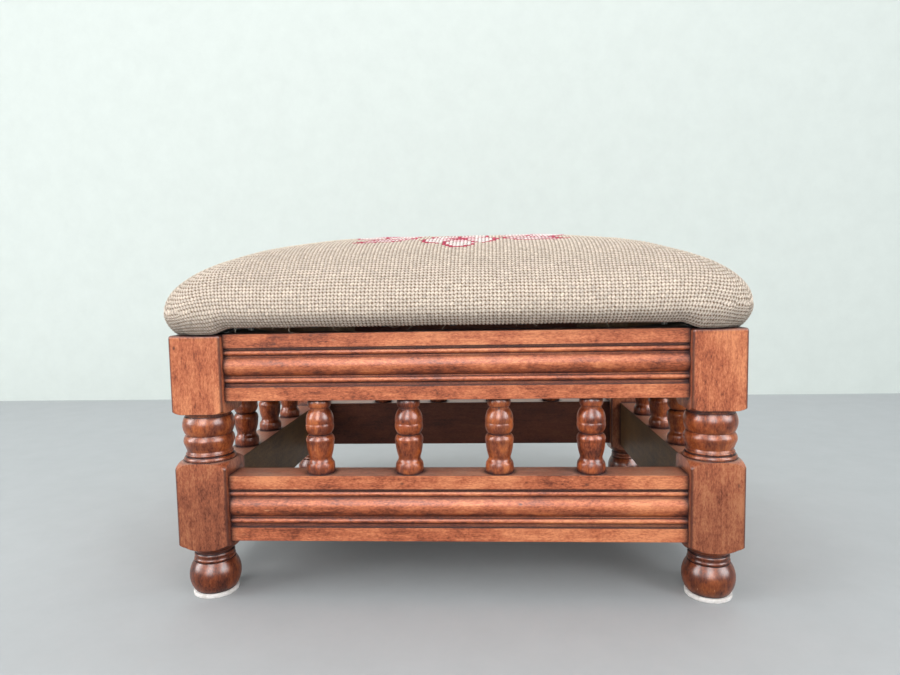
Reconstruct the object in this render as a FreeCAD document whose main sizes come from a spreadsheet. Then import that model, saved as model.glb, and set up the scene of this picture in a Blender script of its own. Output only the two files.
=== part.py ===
"""Upholstered footstool: turned posts, reeded rails, turned spindles and a stuffed needlepoint seat.

The frame stands on the floor at height 0 with its centre at the origin. +X is the long way, the
front faces -Y and +Z is up. All lengths are millimetres.
"""
import FreeCAD, Part
import math
import os
import Sketcher
from FreeCAD import Placement, Rotation, Vector

DRIVING_SIZES = {
    # Frame
    "stool_width": 385.0,
    "stool_depth": 305.0,
    "post_size": 36.0,
    "post_edge_round": 2.0,
    "rail_height": 46.0,
    "rail_thickness": 21.0,
    "rail_recess": 5.0,
    "rail_lift": 6.0,
    "block_above_rail": 10.0,
    "block_below_rail": 8.5,
    "spindle_clear_length": 52.5,
    # Felt pads and feet
    "felt_thickness": 3.0,
    "felt_radius": 16.0,
    "foot_height": 32.5,
    "foot_base_radius": 13.9,
    "bun_height": 21.6,
    "bun_swell": 3.7,
    "bun_top_radius": 14.2,
    "foot_ring_height": 2.8,
    "foot_ring_swell": 0.8,
    "foot_groove_height": 0.7,
    "foot_groove_radius": 13.4,
    "foot_small_ring_height": 2.4,
    "foot_small_ring_swell": 0.5,
    "foot_neck_radius": 12.8,
    "foot_neck_height": 1.3,
    "foot_shoulder_radius": 17.6,
    "foot_shoulder_swell": 0.4,
    "foot_shoulder_flat_rise": 2.6,
    "foot_shoulder_flat_radius": 22.0,
    "foot_shoulder_rise": 5.2,
    # Turned neck of a post
    "block_shoulder_drop": 9.0,
    "block_shoulder_swell": 2.4,
    "upper_shoulder_radius": 21.0,
    "upper_shoulder_rise": 5.0,
    "shoulder_round_swell": 1.1,
    "collar_radius": 17.3,
    "collar_height": 2.8,
    "collar_swell": 0.5,
    "collar_top_radius": 16.6,
    "neck_groove_height": 0.6,
    "neck_groove_radius": 15.5,
    "neck_ring_height": 1.8,
    "neck_ring_swell": 0.6,
    "neck_radius": 15.1,
    "neck_cove_height": 1.4,
    "neck_taper_height": 4.4,
    "low_bead_start_radius": 16.7,
    "low_bead_height": 6.8,
    "low_bead_swell": 1.1,
    "bead_groove_radius": 15.5,
    "high_bead_swell": 1.9,
    "high_bead_top_radius": 15.9,
    "top_fillet_height": 3.0,
    "top_fillet_radius": 15.3,
    # Reeded moulding of a rail
    "reed_depth": 2.2,
    "reed_top_ledge": 1.6,
    "reed_bottom_ledge": 2.4,
    "small_reed_height": 4.1,
    "small_reed_swell": 1.85,
    "reed_quirk": 0.95,
    "large_reed_height": 13.1,
    "large_reed_swell": 3.0,
    # Spindle turning, from its foot up
    "spindle_base_radius": 9.3,
    "spindle_base_height": 7.0,
    "spindle_base_swell": 0.45,
    "spindle_step": 0.6,
    "spindle_step_radius": 8.9,
    "spindle_cove_height": 3.7,
    "spindle_cove_hollow": 0.45,
    "spindle_neck_radius": 7.7,
    "vase_shoulder_radius": 9.55,
    "vase_swell": 0.4,
    "vase_shoulder_height": 5.8,
    "vase_shoulder_swell": 1.2,
    "spindle_waist_radius": 7.4,
    "bulb_radius": 9.5,
    "bulb_lower_height": 7.7,
    "bulb_upper_height": 9.8,
    "bulb_swell": 1.1,
    "spindle_top_neck_radius": 6.8,
    "spindle_top_neck_height": 1.6,
    "spindle_ring_radius": 7.5,
    "spindle_ring_height": 5.3,
    "spindle_ring_swell": 0.6,
    "spindle_land_height": 0.8,
    "tenon_radius": 4.0,
    "tenon_length": 10.0,
    # Dowels
    "dowel_radius": 4.0,
    "dowel_length": 30.0,
    "dowel_chamfer": 0.8,
    "dowel_spacing": 24.0,
    "hole_clearance": 0.06,
    "hole_end_clearance": 0.5,
    # Seat
    "seat_gap": 4.5,
    "board_overhang": -4.5,
    "board_thickness": 9.5,
    "board_corner_radius": 16.0,
    "seat_overhang": 7.5,
    "seat_tuck": 7.0,
    "seat_side_height": 11.1,
    "seat_crown_height": 56.5,
    "seat_corner_radius": 27.0,
    "cover_thickness": 2.6,
    "cover_fold_thickness": 2.0,
    "cover_fold_width": 28.0,
    "corner_fold_size": 34.0,
    "corner_fold_inset": 2.0,
    "corner_fold_radius": 16.0,
    "padding_clearance": 0.3,
    "dust_cloth_thickness": 0.6,
    "dust_cloth_inset": 9.0,
    "dust_cloth_corner_gap": 1.0,
    # Tacks, corner blocks and seat screws
    "tack_inset": 15.0,
    "tack_fold_margin": 8.0,
    "tack_head_radius": 3.0,
    "tack_head_flat_radius": 1.5,
    "tack_head_height": 0.9,
    "tack_head_rim": 0.3,
    "tack_shank_radius": 0.7,
    "tack_length": 8.0,
    "corner_block_leg": 45.0,
    "corner_block_height": 20.0,
    "block_notch_clearance": 0.2,
    "screw_inset": 16.5,
    "screw_length": 32.0,
    "screw_shank_radius": 2.0,
    "screw_head_radius": 4.0,
    "screw_head_height": 2.6,
    "screw_tip_length": 3.0,
    "screw_hole_clearance": 0.08,
}

FRONT_SPINDLES = 4
SIDE_SPINDLES = 3
TACKS_LONG_SIDE = 7
TACKS_SHORT_SIDE = 5
SIDE_LEVELS = (0.0, 0.35, 1.0)
CROWN_LEVELS = (0.3, 0.55, 0.75, 0.9, 0.97, 0.995)
CROWN_POWER = 2.56
CROWN_RISE_POWER = 2.0
ARC_SAGITTA = 1.0 - 1.0 / math.sqrt(2.0)
GROOVE_REACH = 0.72
CORNERS = ("front_left", "front_right", "rear_right", "rear_left")

doc = FreeCAD.newDocument("footstool")
sheet = doc.addObject("Spreadsheet::Sheet", "Sizes")


class Size:
    """A length worked out from the sheet: its expression and its present value."""

    def __init__(self, text, value):
        self.text = text
        self.value = value

    def _with(self, sign, other, swap=False):
        other = other if isinstance(other, Size) else Size(repr(float(other)), float(other))
        left, right = (other, self) if swap else (self, other)
        results = {
            "+": lambda: left.value + right.value,
            "-": lambda: left.value - right.value,
            "*": lambda: left.value * right.value,
            "/": lambda: left.value / right.value,
        }
        return Size("(%s %s %s)" % (left.text, sign, right.text), results[sign]())

    def __add__(self, other):
        return self._with("+", other)

    def __radd__(self, other):
        return self._with("+", other, swap=True)

    def __sub__(self, other):
        return self._with("-", other)

    def __rsub__(self, other):
        return self._with("-", other, swap=True)

    def __mul__(self, other):
        return self._with("*", other)

    def __rmul__(self, other):
        return self._with("*", other, swap=True)

    def __truediv__(self, other):
        return self._with("/", other)

    def __neg__(self):
        return Size("(0 - %s)" % self.text, -self.value)


ZERO = Size("0", 0.0)


def fill_sheet():
    for row, (alias, value) in enumerate(DRIVING_SIZES.items(), start=1):
        sheet.set("A%d" % row, alias)
        sheet.set("B%d" % row, repr(value))
        sheet.setAlias("B%d" % row, alias)
    doc.recompute()


def size(alias):
    return Size("Sizes." + alias, float(sheet.get(alias)))


# Parametric building blocks


def new_body(name):
    body = doc.addObject("PartDesign::Body", name)
    body.Label = name
    return body


def place(body, x=ZERO, y=ZERO, z=ZERO, turn=0.0):
    spot = Vector(x.value, y.value, z.value)
    body.Placement = Placement(spot, Rotation(Vector(0, 0, 1), turn))
    for axis, length in zip("xyz", (x, y, z)):
        body.setExpression("Placement.Base." + axis, length.text)


def new_sketch(body, name, plane="XY_Plane", lift=ZERO):
    sketch = body.newObject("Sketcher::SketchObject", name)
    origin = [part for part in body.Origin.OriginFeatures if part.Role == plane][0]
    sketch.AttachmentSupport = [(origin, "")]
    sketch.MapMode = "FlatFace"
    sketch.AttachmentOffset = Placement(Vector(0, 0, lift.value), Rotation())
    sketch.setExpression("AttachmentOffset.Base.z", lift.text)
    return sketch


def pin_point(sketch, geometry, point, axis, length):
    """Fix one coordinate of a sketch point to a size from the sheet."""
    if abs(length.value) < 1e-9:
        line = -2 if axis == "X" else -1
        sketch.addConstraint(Sketcher.Constraint("PointOnObject", geometry, point, line))
        return
    ends = (-1, 1, geometry, point) if length.value > 0 else (geometry, point, -1, 1)
    length = length if length.value > 0 else -length
    index = sketch.addConstraint(Sketcher.Constraint("Distance" + axis, *ends, length.value))
    sketch.setExpression("Constraints[%d]" % index, length.text)


def draw_outline(sketch, corners):
    """Close a loop of (x, y, swell) corners. A swell bows the next side to the right of its travel."""
    starts = []
    ends = []
    for index, (x, y, swell) in enumerate(corners):
        next_x, next_y, _ = corners[(index + 1) % len(corners)]
        start = Vector(x.value, y.value, 0)
        end = Vector(next_x.value, next_y.value, 0)
        if swell is None:
            side = sketch.addGeometry(Part.LineSegment(start, end))
            starts.append((side, 1))
            ends.append((side, 2))
            continue
        chord = end - start
        bow = abs(swell.value)
        radius = chord.Length ** 2 / (8 * bow) + bow / 2
        right = Vector(chord.y, -chord.x, 0).normalize() * math.copysign(1, swell.value)
        centre = (start + end) / 2 + right * (bow - radius)
        first, last = (start, end) if swell.value > 0 else (end, start)
        angles = [math.atan2(spot.y - centre.y, spot.x - centre.x) for spot in (first, last)]
        if angles[1] < angles[0]:
            angles[1] += 2 * math.pi
        circle = Part.Circle(centre, Vector(0, 0, 1), radius)
        side = sketch.addGeometry(Part.ArcOfCircle(circle, angles[0], angles[1]))
        starts.append((side, 1 if swell.value > 0 else 2))
        ends.append((side, 2 if swell.value > 0 else 1))
        sagitta = swell if swell.value > 0 else -swell
        run = next_x - x
        rise = next_y - y
        arc_radius = (run * run + rise * rise) / (8 * sagitta) + sagitta / 2
        index = sketch.addConstraint(Sketcher.Constraint("Radius", side, arc_radius.value))
        sketch.setExpression("Constraints[%d]" % index, arc_radius.text)
    for index, (x, y, _) in enumerate(corners):
        sketch.addConstraint(Sketcher.Constraint("Coincident", *ends[index - 1], *starts[index]))
        pin_point(sketch, *starts[index], "X", x)
        pin_point(sketch, *starts[index], "Y", y)


def draw_circles(sketch, centres, radius):
    for x, y in centres:
        circle = Part.Circle(Vector(x.value, y.value, 0), Vector(0, 0, 1), radius.value)
        ring = sketch.addGeometry(circle)
        index = sketch.addConstraint(Sketcher.Constraint("Radius", ring, radius.value))
        sketch.setExpression("Constraints[%d]" % index, radius.text)
        pin_point(sketch, ring, 3, "X", x)
        pin_point(sketch, ring, 3, "Y", y)


def extrude(body, kind, name, sketch, length, reverse=False, midplane=False):
    feature = body.newObject("PartDesign::" + kind, name)
    feature.Profile = sketch
    feature.Length = length.value
    feature.setExpression("Length", length.text)
    feature.Reversed = reverse
    feature.Midplane = midplane
    body.Tip = feature
    doc.recompute()
    return feature


def revolve(body, kind, name, sketch):
    feature = body.newObject("PartDesign::" + kind, name)
    feature.Profile = sketch
    feature.ReferenceAxis = (sketch, ["V_Axis"])
    feature.Angle = 360.0
    body.Tip = feature
    doc.recompute()
    return feature


def loft(body, kind, name, outlines):
    """Skin through (height, corners) outlines from the lowest to the highest."""
    sections = []
    for index, (height, corners) in enumerate(outlines):
        sketch = new_sketch(body, "%s_section_%d" % (name, index + 1), lift=height)
        draw_outline(sketch, corners)
        sections.append(sketch)
    doc.recompute()
    feature = body.newObject("PartDesign::" + kind, name)
    feature.Profile = sections[0]
    feature.Sections = sections[1:]
    feature.Ruled = False
    body.Tip = feature
    doc.recompute()
    return feature


def rounded_rectangle(half_x, half_y, radius):
    """Corners of a centred rectangle with round corners, anticlockwise from the lower right."""
    bow = radius * ARC_SAGITTA
    in_x = half_x - radius
    in_y = half_y - radius
    return [
        (in_x, -half_y, bow), (half_x, -in_y, None), (half_x, in_y, bow), (in_x, half_y, None),
        (-in_x, half_y, bow), (-half_x, in_y, None), (-half_x, -in_y, bow), (-in_x, -half_y, None),
    ]


def rise_profile(start, steps):
    """Corners of a turned outline climbing from a height: steps are (height, radius, swell)."""
    corners = []
    height = start
    for climb, radius, swell in steps:
        height = height + climb
        corners.append((radius, height, swell))
    return corners


# Heights and centres that several pieces share

fill_sheet()
half_width = size("stool_width") / 2
half_depth = size("stool_depth") / 2
post_size = size("post_size")
foot_top = size("felt_thickness") + size("foot_height")
lower_rail_bottom = foot_top + size("rail_lift")
lower_rail_top = lower_rail_bottom + size("rail_height")
upper_rail_bottom = lower_rail_top + size("spindle_clear_length")
frame_top = upper_rail_bottom + size("rail_height")
lower_block_top = lower_rail_top + size("block_above_rail")
upper_block_bottom = upper_rail_bottom - size("block_below_rail")
rail_centre_inset = size("rail_recess") + size("rail_thickness") / 2
front_rail_length = size("stool_width") - 2 * post_size
side_rail_length = size("stool_depth") - 2 * post_size
rail_bottoms = (("lower", lower_rail_bottom), ("upper", upper_rail_bottom))

CORNER_PLACES = {
    "front_left": (-1, -1, 0.0),
    "front_right": (1, -1, 90.0),
    "rear_right": (1, 1, 180.0),
    "rear_left": (-1, 1, 270.0),
}


def corner_spot(corner, inset):
    """Centre of something set in from a corner of the frame by the same inset both ways."""
    side_x, side_y, turn = CORNER_PLACES[corner]
    return (half_width - inset) * side_x, (half_depth - inset) * side_y, turn


# Posts


def foot_outline():
    """What the lathe removes round the bun foot, its two rings and the block's lower shoulder."""
    base = size("felt_thickness")
    reach = post_size * GROOVE_REACH
    rings = ("bun_height", "foot_ring_height", "foot_groove_height", "foot_small_ring_height",
             "foot_neck_height")
    shoulder = size("foot_height")
    for alias in rings:
        shoulder = shoulder - size(alias)
    climb = [
        (ZERO, size("foot_base_radius"), size("bun_swell")),
        (size("bun_height"), size("bun_top_radius"), None),
        (ZERO, size("foot_groove_radius"), size("foot_ring_swell")),
        (size("foot_ring_height"), size("foot_groove_radius"), None),
        (size("foot_groove_height"), size("foot_groove_radius"), size("foot_small_ring_swell")),
        (size("foot_small_ring_height"), size("foot_groove_radius"), None),
        (ZERO, size("foot_neck_radius"), None),
        (size("foot_neck_height"), size("foot_neck_radius"), size("foot_shoulder_swell")),
        (shoulder, size("foot_shoulder_radius"), size("foot_shoulder_swell")),
        (size("foot_shoulder_flat_rise"), size("foot_shoulder_flat_radius"), size("shoulder_round_swell")),
        (size("foot_shoulder_rise"), reach, None),
    ]
    return rise_profile(base, climb) + [(reach, base, None)]


def neck_outline():
    """What the lathe removes between the square blocks: shoulder, collar, ring, taper and two beads."""
    fixed = ("collar_height", "neck_groove_height", "neck_ring_height", "neck_cove_height",
             "neck_taper_height", "low_bead_height", "top_fillet_height")
    high_bead = upper_block_bottom - lower_block_top
    for alias in fixed:
        high_bead = high_bead - size(alias)
    reach = post_size * GROOVE_REACH
    climb = [
        (ZERO - size("block_shoulder_drop"), reach, size("block_shoulder_swell")),
        (size("block_shoulder_drop"), size("collar_radius"), size("collar_swell")),
        (size("collar_height"), size("collar_top_radius"), None),
        (ZERO, size("neck_groove_radius"), None),
        (size("neck_groove_height"), size("neck_groove_radius"), size("neck_ring_swell")),
        (size("neck_ring_height"), size("neck_groove_radius"), None),
        (size("neck_cove_height"), size("neck_radius"), None),
        (size("neck_taper_height"), size("low_bead_start_radius"), size("low_bead_swell")),
        (size("low_bead_height"), size("bead_groove_radius"), size("high_bead_swell")),
        (high_bead, size("high_bead_top_radius"), None),
        (ZERO, size("top_fillet_radius"), None),
        (size("top_fillet_height"), size("top_fillet_radius"), None),
        (ZERO, size("upper_shoulder_radius"), size("shoulder_round_swell")),
        (size("upper_shoulder_rise"), reach, None),
    ]
    return rise_profile(lower_block_top, climb)


def make_post(corner):
    body = new_body(corner + "_post")
    blank = new_sketch(body, "blank_outline", lift=size("felt_thickness"))
    half = post_size / 2
    draw_outline(blank, [(-half, -half, None), (half, -half, None), (half, half, None), (-half, half, None)])
    pad = extrude(body, "Pad", "blank", blank, frame_top - size("felt_thickness"))
    top_edges = []
    for index, edge in enumerate(pad.Shape.Edges, start=1):
        bottom = edge.BoundBox.ZMax < pad.Shape.BoundBox.ZMin + 1e-6
        if not bottom:
            top_edges.append("Edge%d" % index)
    rounding = body.newObject("PartDesign::Fillet", "edge_rounding")
    rounding.Base = (pad, top_edges)
    rounding.Radius = size("post_edge_round").value
    rounding.setExpression("Radius", size("post_edge_round").text)
    body.Tip = rounding
    doc.recompute()

    foot = new_sketch(body, "foot_outline", "XZ_Plane")
    draw_outline(foot, foot_outline())
    revolve(body, "Groove", "foot_turning", foot)
    neck = new_sketch(body, "neck_outline", "XZ_Plane")
    draw_outline(neck, neck_outline())
    revolve(body, "Groove", "neck_turning", neck)

    offset = rail_centre_inset - half
    depth = size("dowel_length") / 2 + size("hole_end_clearance")
    radius = size("dowel_radius") + size("hole_clearance")
    heights = []
    for _, bottom in rail_bottoms:
        middle = bottom + size("rail_height") / 2
        heights += [middle - size("dowel_spacing") / 2, middle + size("dowel_spacing") / 2]
    side_holes = new_sketch(body, "front_rail_dowel_holes", "YZ_Plane", half)
    draw_circles(side_holes, [(offset, height) for height in heights], radius)
    extrude(body, "Pocket", "front_rail_drilling", side_holes, depth)
    rear_holes = new_sketch(body, "side_rail_dowel_holes", "XZ_Plane", -half)
    draw_circles(rear_holes, [(offset, height) for height in heights], radius)
    extrude(body, "Pocket", "side_rail_drilling", rear_holes, depth, reverse=True)

    x, y, turn = corner_spot(corner, half)
    place(body, x, y, ZERO, turn)
    return body


def make_felt_pad(corner):
    body = new_body(corner + "_felt_pad")
    disc = new_sketch(body, "pad_outline")
    draw_circles(disc, [(ZERO, ZERO)], size("felt_radius"))
    extrude(body, "Pad", "pad", disc, size("felt_thickness"))
    x, y, _ = corner_spot(corner, post_size / 2)
    place(body, x, y)
    return body


# Rails


def rail_outline():
    """Section of a rail: flat lands above and below a sunk band with one large reed and two small."""
    ledges = size("reed_bottom_ledge") + size("reed_top_ledge")
    land = (size("rail_height") - size("large_reed_height") - ledges) / 2
    land = land - size("small_reed_height") - size("reed_quirk")
    sunk = size("reed_depth")
    band = [
        (land, None),
        (size("reed_bottom_ledge"), size("small_reed_swell")),
        (size("small_reed_height"), None),
        (size("reed_quirk"), size("large_reed_swell")),
        (size("large_reed_height"), None),
        (size("reed_quirk"), size("small_reed_swell")),
        (size("small_reed_height"), None),
        (size("reed_top_ledge"), None),
    ]
    corners = [(size("rail_thickness"), ZERO, None), (size("rail_thickness"), size("rail_height"), None)]
    corners += [(ZERO, size("rail_height"), None), (ZERO, size("rail_height") - land, None)]
    height = ZERO
    rising = []
    for climb, swell in band:
        height = height + climb
        rising.append((sunk, height, swell))
    for index in range(len(rising) - 1, -1, -1):
        swell = rising[index - 1][2] if index else None
        corners.append((rising[index][0], rising[index][1], swell))
    corners += [(ZERO, land, None), (ZERO, ZERO, None)]
    return corners


def make_rail(name, length, spindles, spindle_side, x, y, z, turn):
    """One rail along its own X, outer face at Y 0, with dowel holes in both ends and spindle holes."""
    body = new_body(name)
    section = new_sketch(body, "moulding_outline", "YZ_Plane")
    draw_outline(section, rail_outline())
    extrude(body, "Pad", "moulded_bar", section, length, midplane=True)

    middle = size("rail_thickness") / 2
    radius = size("dowel_radius") + size("hole_clearance")
    depth = size("dowel_length") / 2 + size("hole_end_clearance")
    half_spacing = size("dowel_spacing") / 2
    half_height = size("rail_height") / 2
    ends = new_sketch(body, "dowel_holes", "YZ_Plane", length / 2)
    draw_circles(ends, [(middle, half_height - half_spacing), (middle, half_height + half_spacing)], radius)
    drilling = extrude(body, "Pocket", "end_drilling", ends, depth)
    mirror = body.newObject("PartDesign::Mirrored", "other_end_drilling")
    mirror.Originals = [drilling]
    plane = [part for part in body.Origin.OriginFeatures if part.Role == "YZ_Plane"][0]
    mirror.MirrorPlane = (plane, [""])
    body.Tip = mirror
    doc.recompute()

    lift = size("rail_height") if spindle_side == "top" else ZERO
    holes = new_sketch(body, "spindle_holes", "XY_Plane", lift)
    centres = [(place_x, middle) for place_x in spindle_centres(length, spindles)]
    draw_circles(holes, centres, size("tenon_radius") + size("hole_clearance"))
    hole_depth = size("tenon_length") + size("hole_end_clearance")
    extrude(body, "Pocket", "spindle_drilling", holes, hole_depth, reverse=spindle_side == "bottom")
    place(body, x, y, z, turn)
    return body


def spindle_centres(length, count):
    """Spindles share a rail's clear length so that every space between them is the same."""
    pitch = length / (count + 1)
    return [pitch * (index - (count - 1) / 2) for index in range(count)]


def make_rails():
    front_y = half_depth - size("rail_recess")
    side_x = half_width - size("rail_recess")
    runs = (
        ("front", front_rail_length, FRONT_SPINDLES, ZERO, -front_y, 0.0),
        ("right", side_rail_length, SIDE_SPINDLES, side_x, ZERO, 90.0),
        ("rear", front_rail_length, FRONT_SPINDLES, ZERO, front_y, 180.0),
        ("left", side_rail_length, SIDE_SPINDLES, -side_x, ZERO, 270.0),
    )
    rails = []
    for level, bottom in rail_bottoms:
        spindle_side = "top" if level == "lower" else "bottom"
        for side, length, count, x, y, turn in runs:
            name = "%s_%s_rail" % (side, level)
            rails.append(make_rail(name, length, count, spindle_side, x, y, bottom, turn))
    return rails


# Spindles


def spindle_outline():
    """Half outline of a spindle: base ring, cove, vase, bulb and top ring between two tenons."""
    clear = size("spindle_clear_length")
    fixed = ("spindle_base_height", "spindle_step", "spindle_cove_height", "vase_shoulder_height",
             "bulb_lower_height", "bulb_upper_height", "spindle_top_neck_height", "spindle_ring_height",
             "spindle_land_height")
    vase = clear
    for alias in fixed:
        vase = vase - size(alias)
    tenon = size("tenon_radius")
    climb = [
        (-size("tenon_length"), ZERO, None),
        (ZERO, tenon, None),
        (size("tenon_length"), tenon, None),
        (ZERO, size("spindle_base_radius"), size("spindle_base_swell")),
        (size("spindle_base_height"), size("spindle_base_radius"), None),
        (size("spindle_step"), size("spindle_step_radius"), -size("spindle_cove_hollow")),
        (size("spindle_cove_height"), size("spindle_neck_radius"), size("vase_swell")),
        (vase, size("vase_shoulder_radius"), size("vase_shoulder_swell")),
        (size("vase_shoulder_height"), size("spindle_waist_radius"), size("bulb_swell")),
        (size("bulb_lower_height"), size("bulb_radius"), size("bulb_swell")),
        (size("bulb_upper_height"), size("spindle_top_neck_radius"), None),
        (size("spindle_top_neck_height"), size("spindle_top_neck_radius"), None),
        (ZERO, size("spindle_ring_radius"), size("spindle_ring_swell")),
        (size("spindle_ring_height"), size("spindle_ring_radius"), None),
        (size("spindle_land_height"), size("spindle_ring_radius"), None),
        (ZERO, tenon, None),
        (size("tenon_length"), tenon, None),
        (ZERO, ZERO, None),
    ]
    return rise_profile(ZERO, climb)


def make_spindles():
    spindles = []
    side_x = half_width - rail_centre_inset
    front_y = half_depth - rail_centre_inset
    runs = (("front", front_rail_length, FRONT_SPINDLES), ("rear", front_rail_length, FRONT_SPINDLES),
            ("left", side_rail_length, SIDE_SPINDLES), ("right", side_rail_length, SIDE_SPINDLES))
    spots = {
        "front": lambda along: (along, -front_y),
        "rear": lambda along: (along, front_y),
        "left": lambda along: (-side_x, along),
        "right": lambda along: (side_x, along),
    }
    for side, length, count in runs:
        for index, along in enumerate(spindle_centres(length, count), start=1):
            body = new_body("%s_spindle_%d" % (side, index))
            outline = new_sketch(body, "turning_outline", "XZ_Plane")
            draw_outline(outline, spindle_outline())
            revolve(body, "Revolution", "turning", outline)
            x, y = spots[side](along)
            place(body, x, y, lower_rail_top)
            spindles.append(body)
    return spindles


# Seat

seat_bottom = frame_top + size("seat_gap")
board_bottom = seat_bottom + size("cover_fold_thickness")
board_top = board_bottom + size("board_thickness")
board_half_x = half_width + size("board_overhang")
board_half_y = half_depth + size("board_overhang")


def seat_outlines(inset, bottom, crown_drop):
    """Rounded rectangles that the seat's skin passes through, all set in by the same inset."""
    half_x = half_width + size("seat_overhang") - inset
    half_y = half_depth + size("seat_overhang") - inset
    radius = size("seat_corner_radius") - inset
    widest = seat_bottom + size("seat_side_height")
    outlines = []
    for level in SIDE_LEVELS:
        tuck = size("seat_tuck") * (1 - level) ** 2
        height = bottom + (widest - bottom) * level
        outlines.append((height, rounded_rectangle(half_x - tuck, half_y - tuck, radius - tuck / 2)))
    crown = size("seat_crown_height") - crown_drop
    for level in CROWN_LEVELS:
        share = (1 - level ** CROWN_RISE_POWER) ** (1 / CROWN_POWER)
        corners = rounded_rectangle(half_x * share, half_y * share, radius * share)
        outlines.append((widest + crown * level, corners))
    return outlines


def corner_squares(near_x, near_y, far_x, far_y, radius):
    """Four squares, one in each corner, with the outer corner rounded by the radius."""
    bow = radius * ARC_SAGITTA
    return {
        "front_left": [(-far_x, -far_y + radius, bow), (-far_x + radius, -far_y, None),
                       (-near_x, -far_y, None), (-near_x, -near_y, None), (-far_x, -near_y, None)],
        "front_right": [(far_x - radius, -far_y, bow), (far_x, -far_y + radius, None),
                        (far_x, -near_y, None), (near_x, -near_y, None), (near_x, -far_y, None)],
        "rear_right": [(far_x, far_y - radius, bow), (far_x - radius, far_y, None),
                       (near_x, far_y, None), (near_x, near_y, None), (far_x, near_y, None)],
        "rear_left": [(-far_x + radius, far_y, bow), (-far_x, far_y - radius, None),
                      (-far_x, near_y, None), (-near_x, near_y, None), (-near_x, far_y, None)],
    }


def tack_spots():
    """Evenly spaced tacks along each edge of the board, between the folds at its corners."""
    far_x = board_half_x - size("tack_inset")
    far_y = board_half_y - size("tack_inset")
    fold = size("corner_fold_inset") + size("corner_fold_size") + size("tack_fold_margin")
    step_x = (board_half_x - fold) * 2 / (TACKS_LONG_SIDE - 1)
    step_y = (board_half_y - fold) * 2 / (TACKS_SHORT_SIDE - 1)
    spots = []
    for index in range(TACKS_LONG_SIDE):
        along = step_x * (index - (TACKS_LONG_SIDE - 1) / 2)
        spots += [(along, -far_y), (along, far_y)]
    for index in range(TACKS_SHORT_SIDE):
        along = step_y * (index - (TACKS_SHORT_SIDE - 1) / 2)
        spots += [(-far_x, along), (far_x, along)]
    return spots


def screw_spots():
    inset = size("rail_recess") + size("rail_thickness") + size("screw_inset")
    return [corner_spot(corner, inset)[:2] for corner in CORNERS]


def make_cover():
    """The needlepoint: a skin over the padding, folded under the board and bunched at the corners."""
    body = new_body("needlepoint_cover")
    loft(body, "AdditiveLoft", "outer_skin", seat_outlines(ZERO, seat_bottom, ZERO))
    far_x = board_half_x - size("corner_fold_inset")
    far_y = board_half_y - size("corner_fold_inset")
    near_x = far_x - size("corner_fold_size")
    near_y = far_y - size("corner_fold_size")
    squares = corner_squares(near_x, near_y, far_x, far_y, size("corner_fold_radius"))
    folds = new_sketch(body, "corner_fold_outlines", lift=frame_top)
    for corner in CORNERS:
        draw_outline(folds, squares[corner])
    extrude(body, "Pad", "corner_folds", folds, size("seat_gap") + size("cover_fold_thickness"))

    thickness = size("cover_thickness")
    loft(body, "SubtractiveLoft", "hollow", seat_outlines(thickness, board_bottom, thickness))

    opening = new_sketch(body, "fold_edge", lift=seat_bottom)
    half_x = board_half_x - size("cover_fold_width")
    half_y = board_half_y - size("cover_fold_width")
    draw_outline(opening, rounded_rectangle(half_x, half_y, size("corner_fold_radius") / 2))
    reach = size("cover_fold_thickness")
    extrude(body, "Pocket", "fold_opening", opening, reach, reverse=True)
    holes = new_sketch(body, "tack_holes", lift=seat_bottom)
    draw_circles(holes, tack_spots(), size("tack_shank_radius") + size("hole_clearance"))
    extrude(body, "Pocket", "tack_piercing", holes, reach, reverse=True)
    return body


def make_padding():
    """The stuffing fills the cover, sits on the board and laps down over the board's edge."""
    body = new_body("seat_padding")
    inset = size("cover_thickness") + size("padding_clearance")
    bottom = board_bottom + size("padding_clearance")
    loft(body, "AdditiveLoft", "stuffing", seat_outlines(inset, bottom, inset))
    seat = new_sketch(body, "board_outline", lift=board_bottom)
    gap = size("padding_clearance")
    outline = rounded_rectangle(board_half_x + gap, board_half_y + gap, size("board_corner_radius") + gap)
    draw_outline(seat, outline)
    extrude(body, "Pocket", "board_seat", seat, size("board_thickness"), reverse=True)
    return body


def make_board():
    body = new_body("seat_board")
    outline = new_sketch(body, "board_outline", lift=board_bottom)
    draw_outline(outline, rounded_rectangle(board_half_x, board_half_y, size("board_corner_radius")))
    extrude(body, "Pad", "board", outline, size("board_thickness"))
    pilots = new_sketch(body, "screw_pilots", lift=board_bottom)
    radius = size("screw_shank_radius") + size("screw_hole_clearance")
    draw_circles(pilots, screw_spots(), radius)
    screw_reach = frame_top - size("corner_block_height") + size("screw_length") - board_bottom
    extrude(body, "Pocket", "pilot_drilling", pilots, screw_reach + size("hole_end_clearance"), reverse=True)
    pricks = new_sketch(body, "tack_holes", lift=board_bottom)
    draw_circles(pricks, tack_spots(), size("tack_shank_radius") + size("hole_clearance"))
    tack_reach = size("tack_length") - size("cover_fold_thickness") - size("dust_cloth_thickness")
    tack_depth = tack_reach + size("hole_end_clearance") / 2
    extrude(body, "Pocket", "tack_drilling", pricks, tack_depth, reverse=True)
    return body


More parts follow.
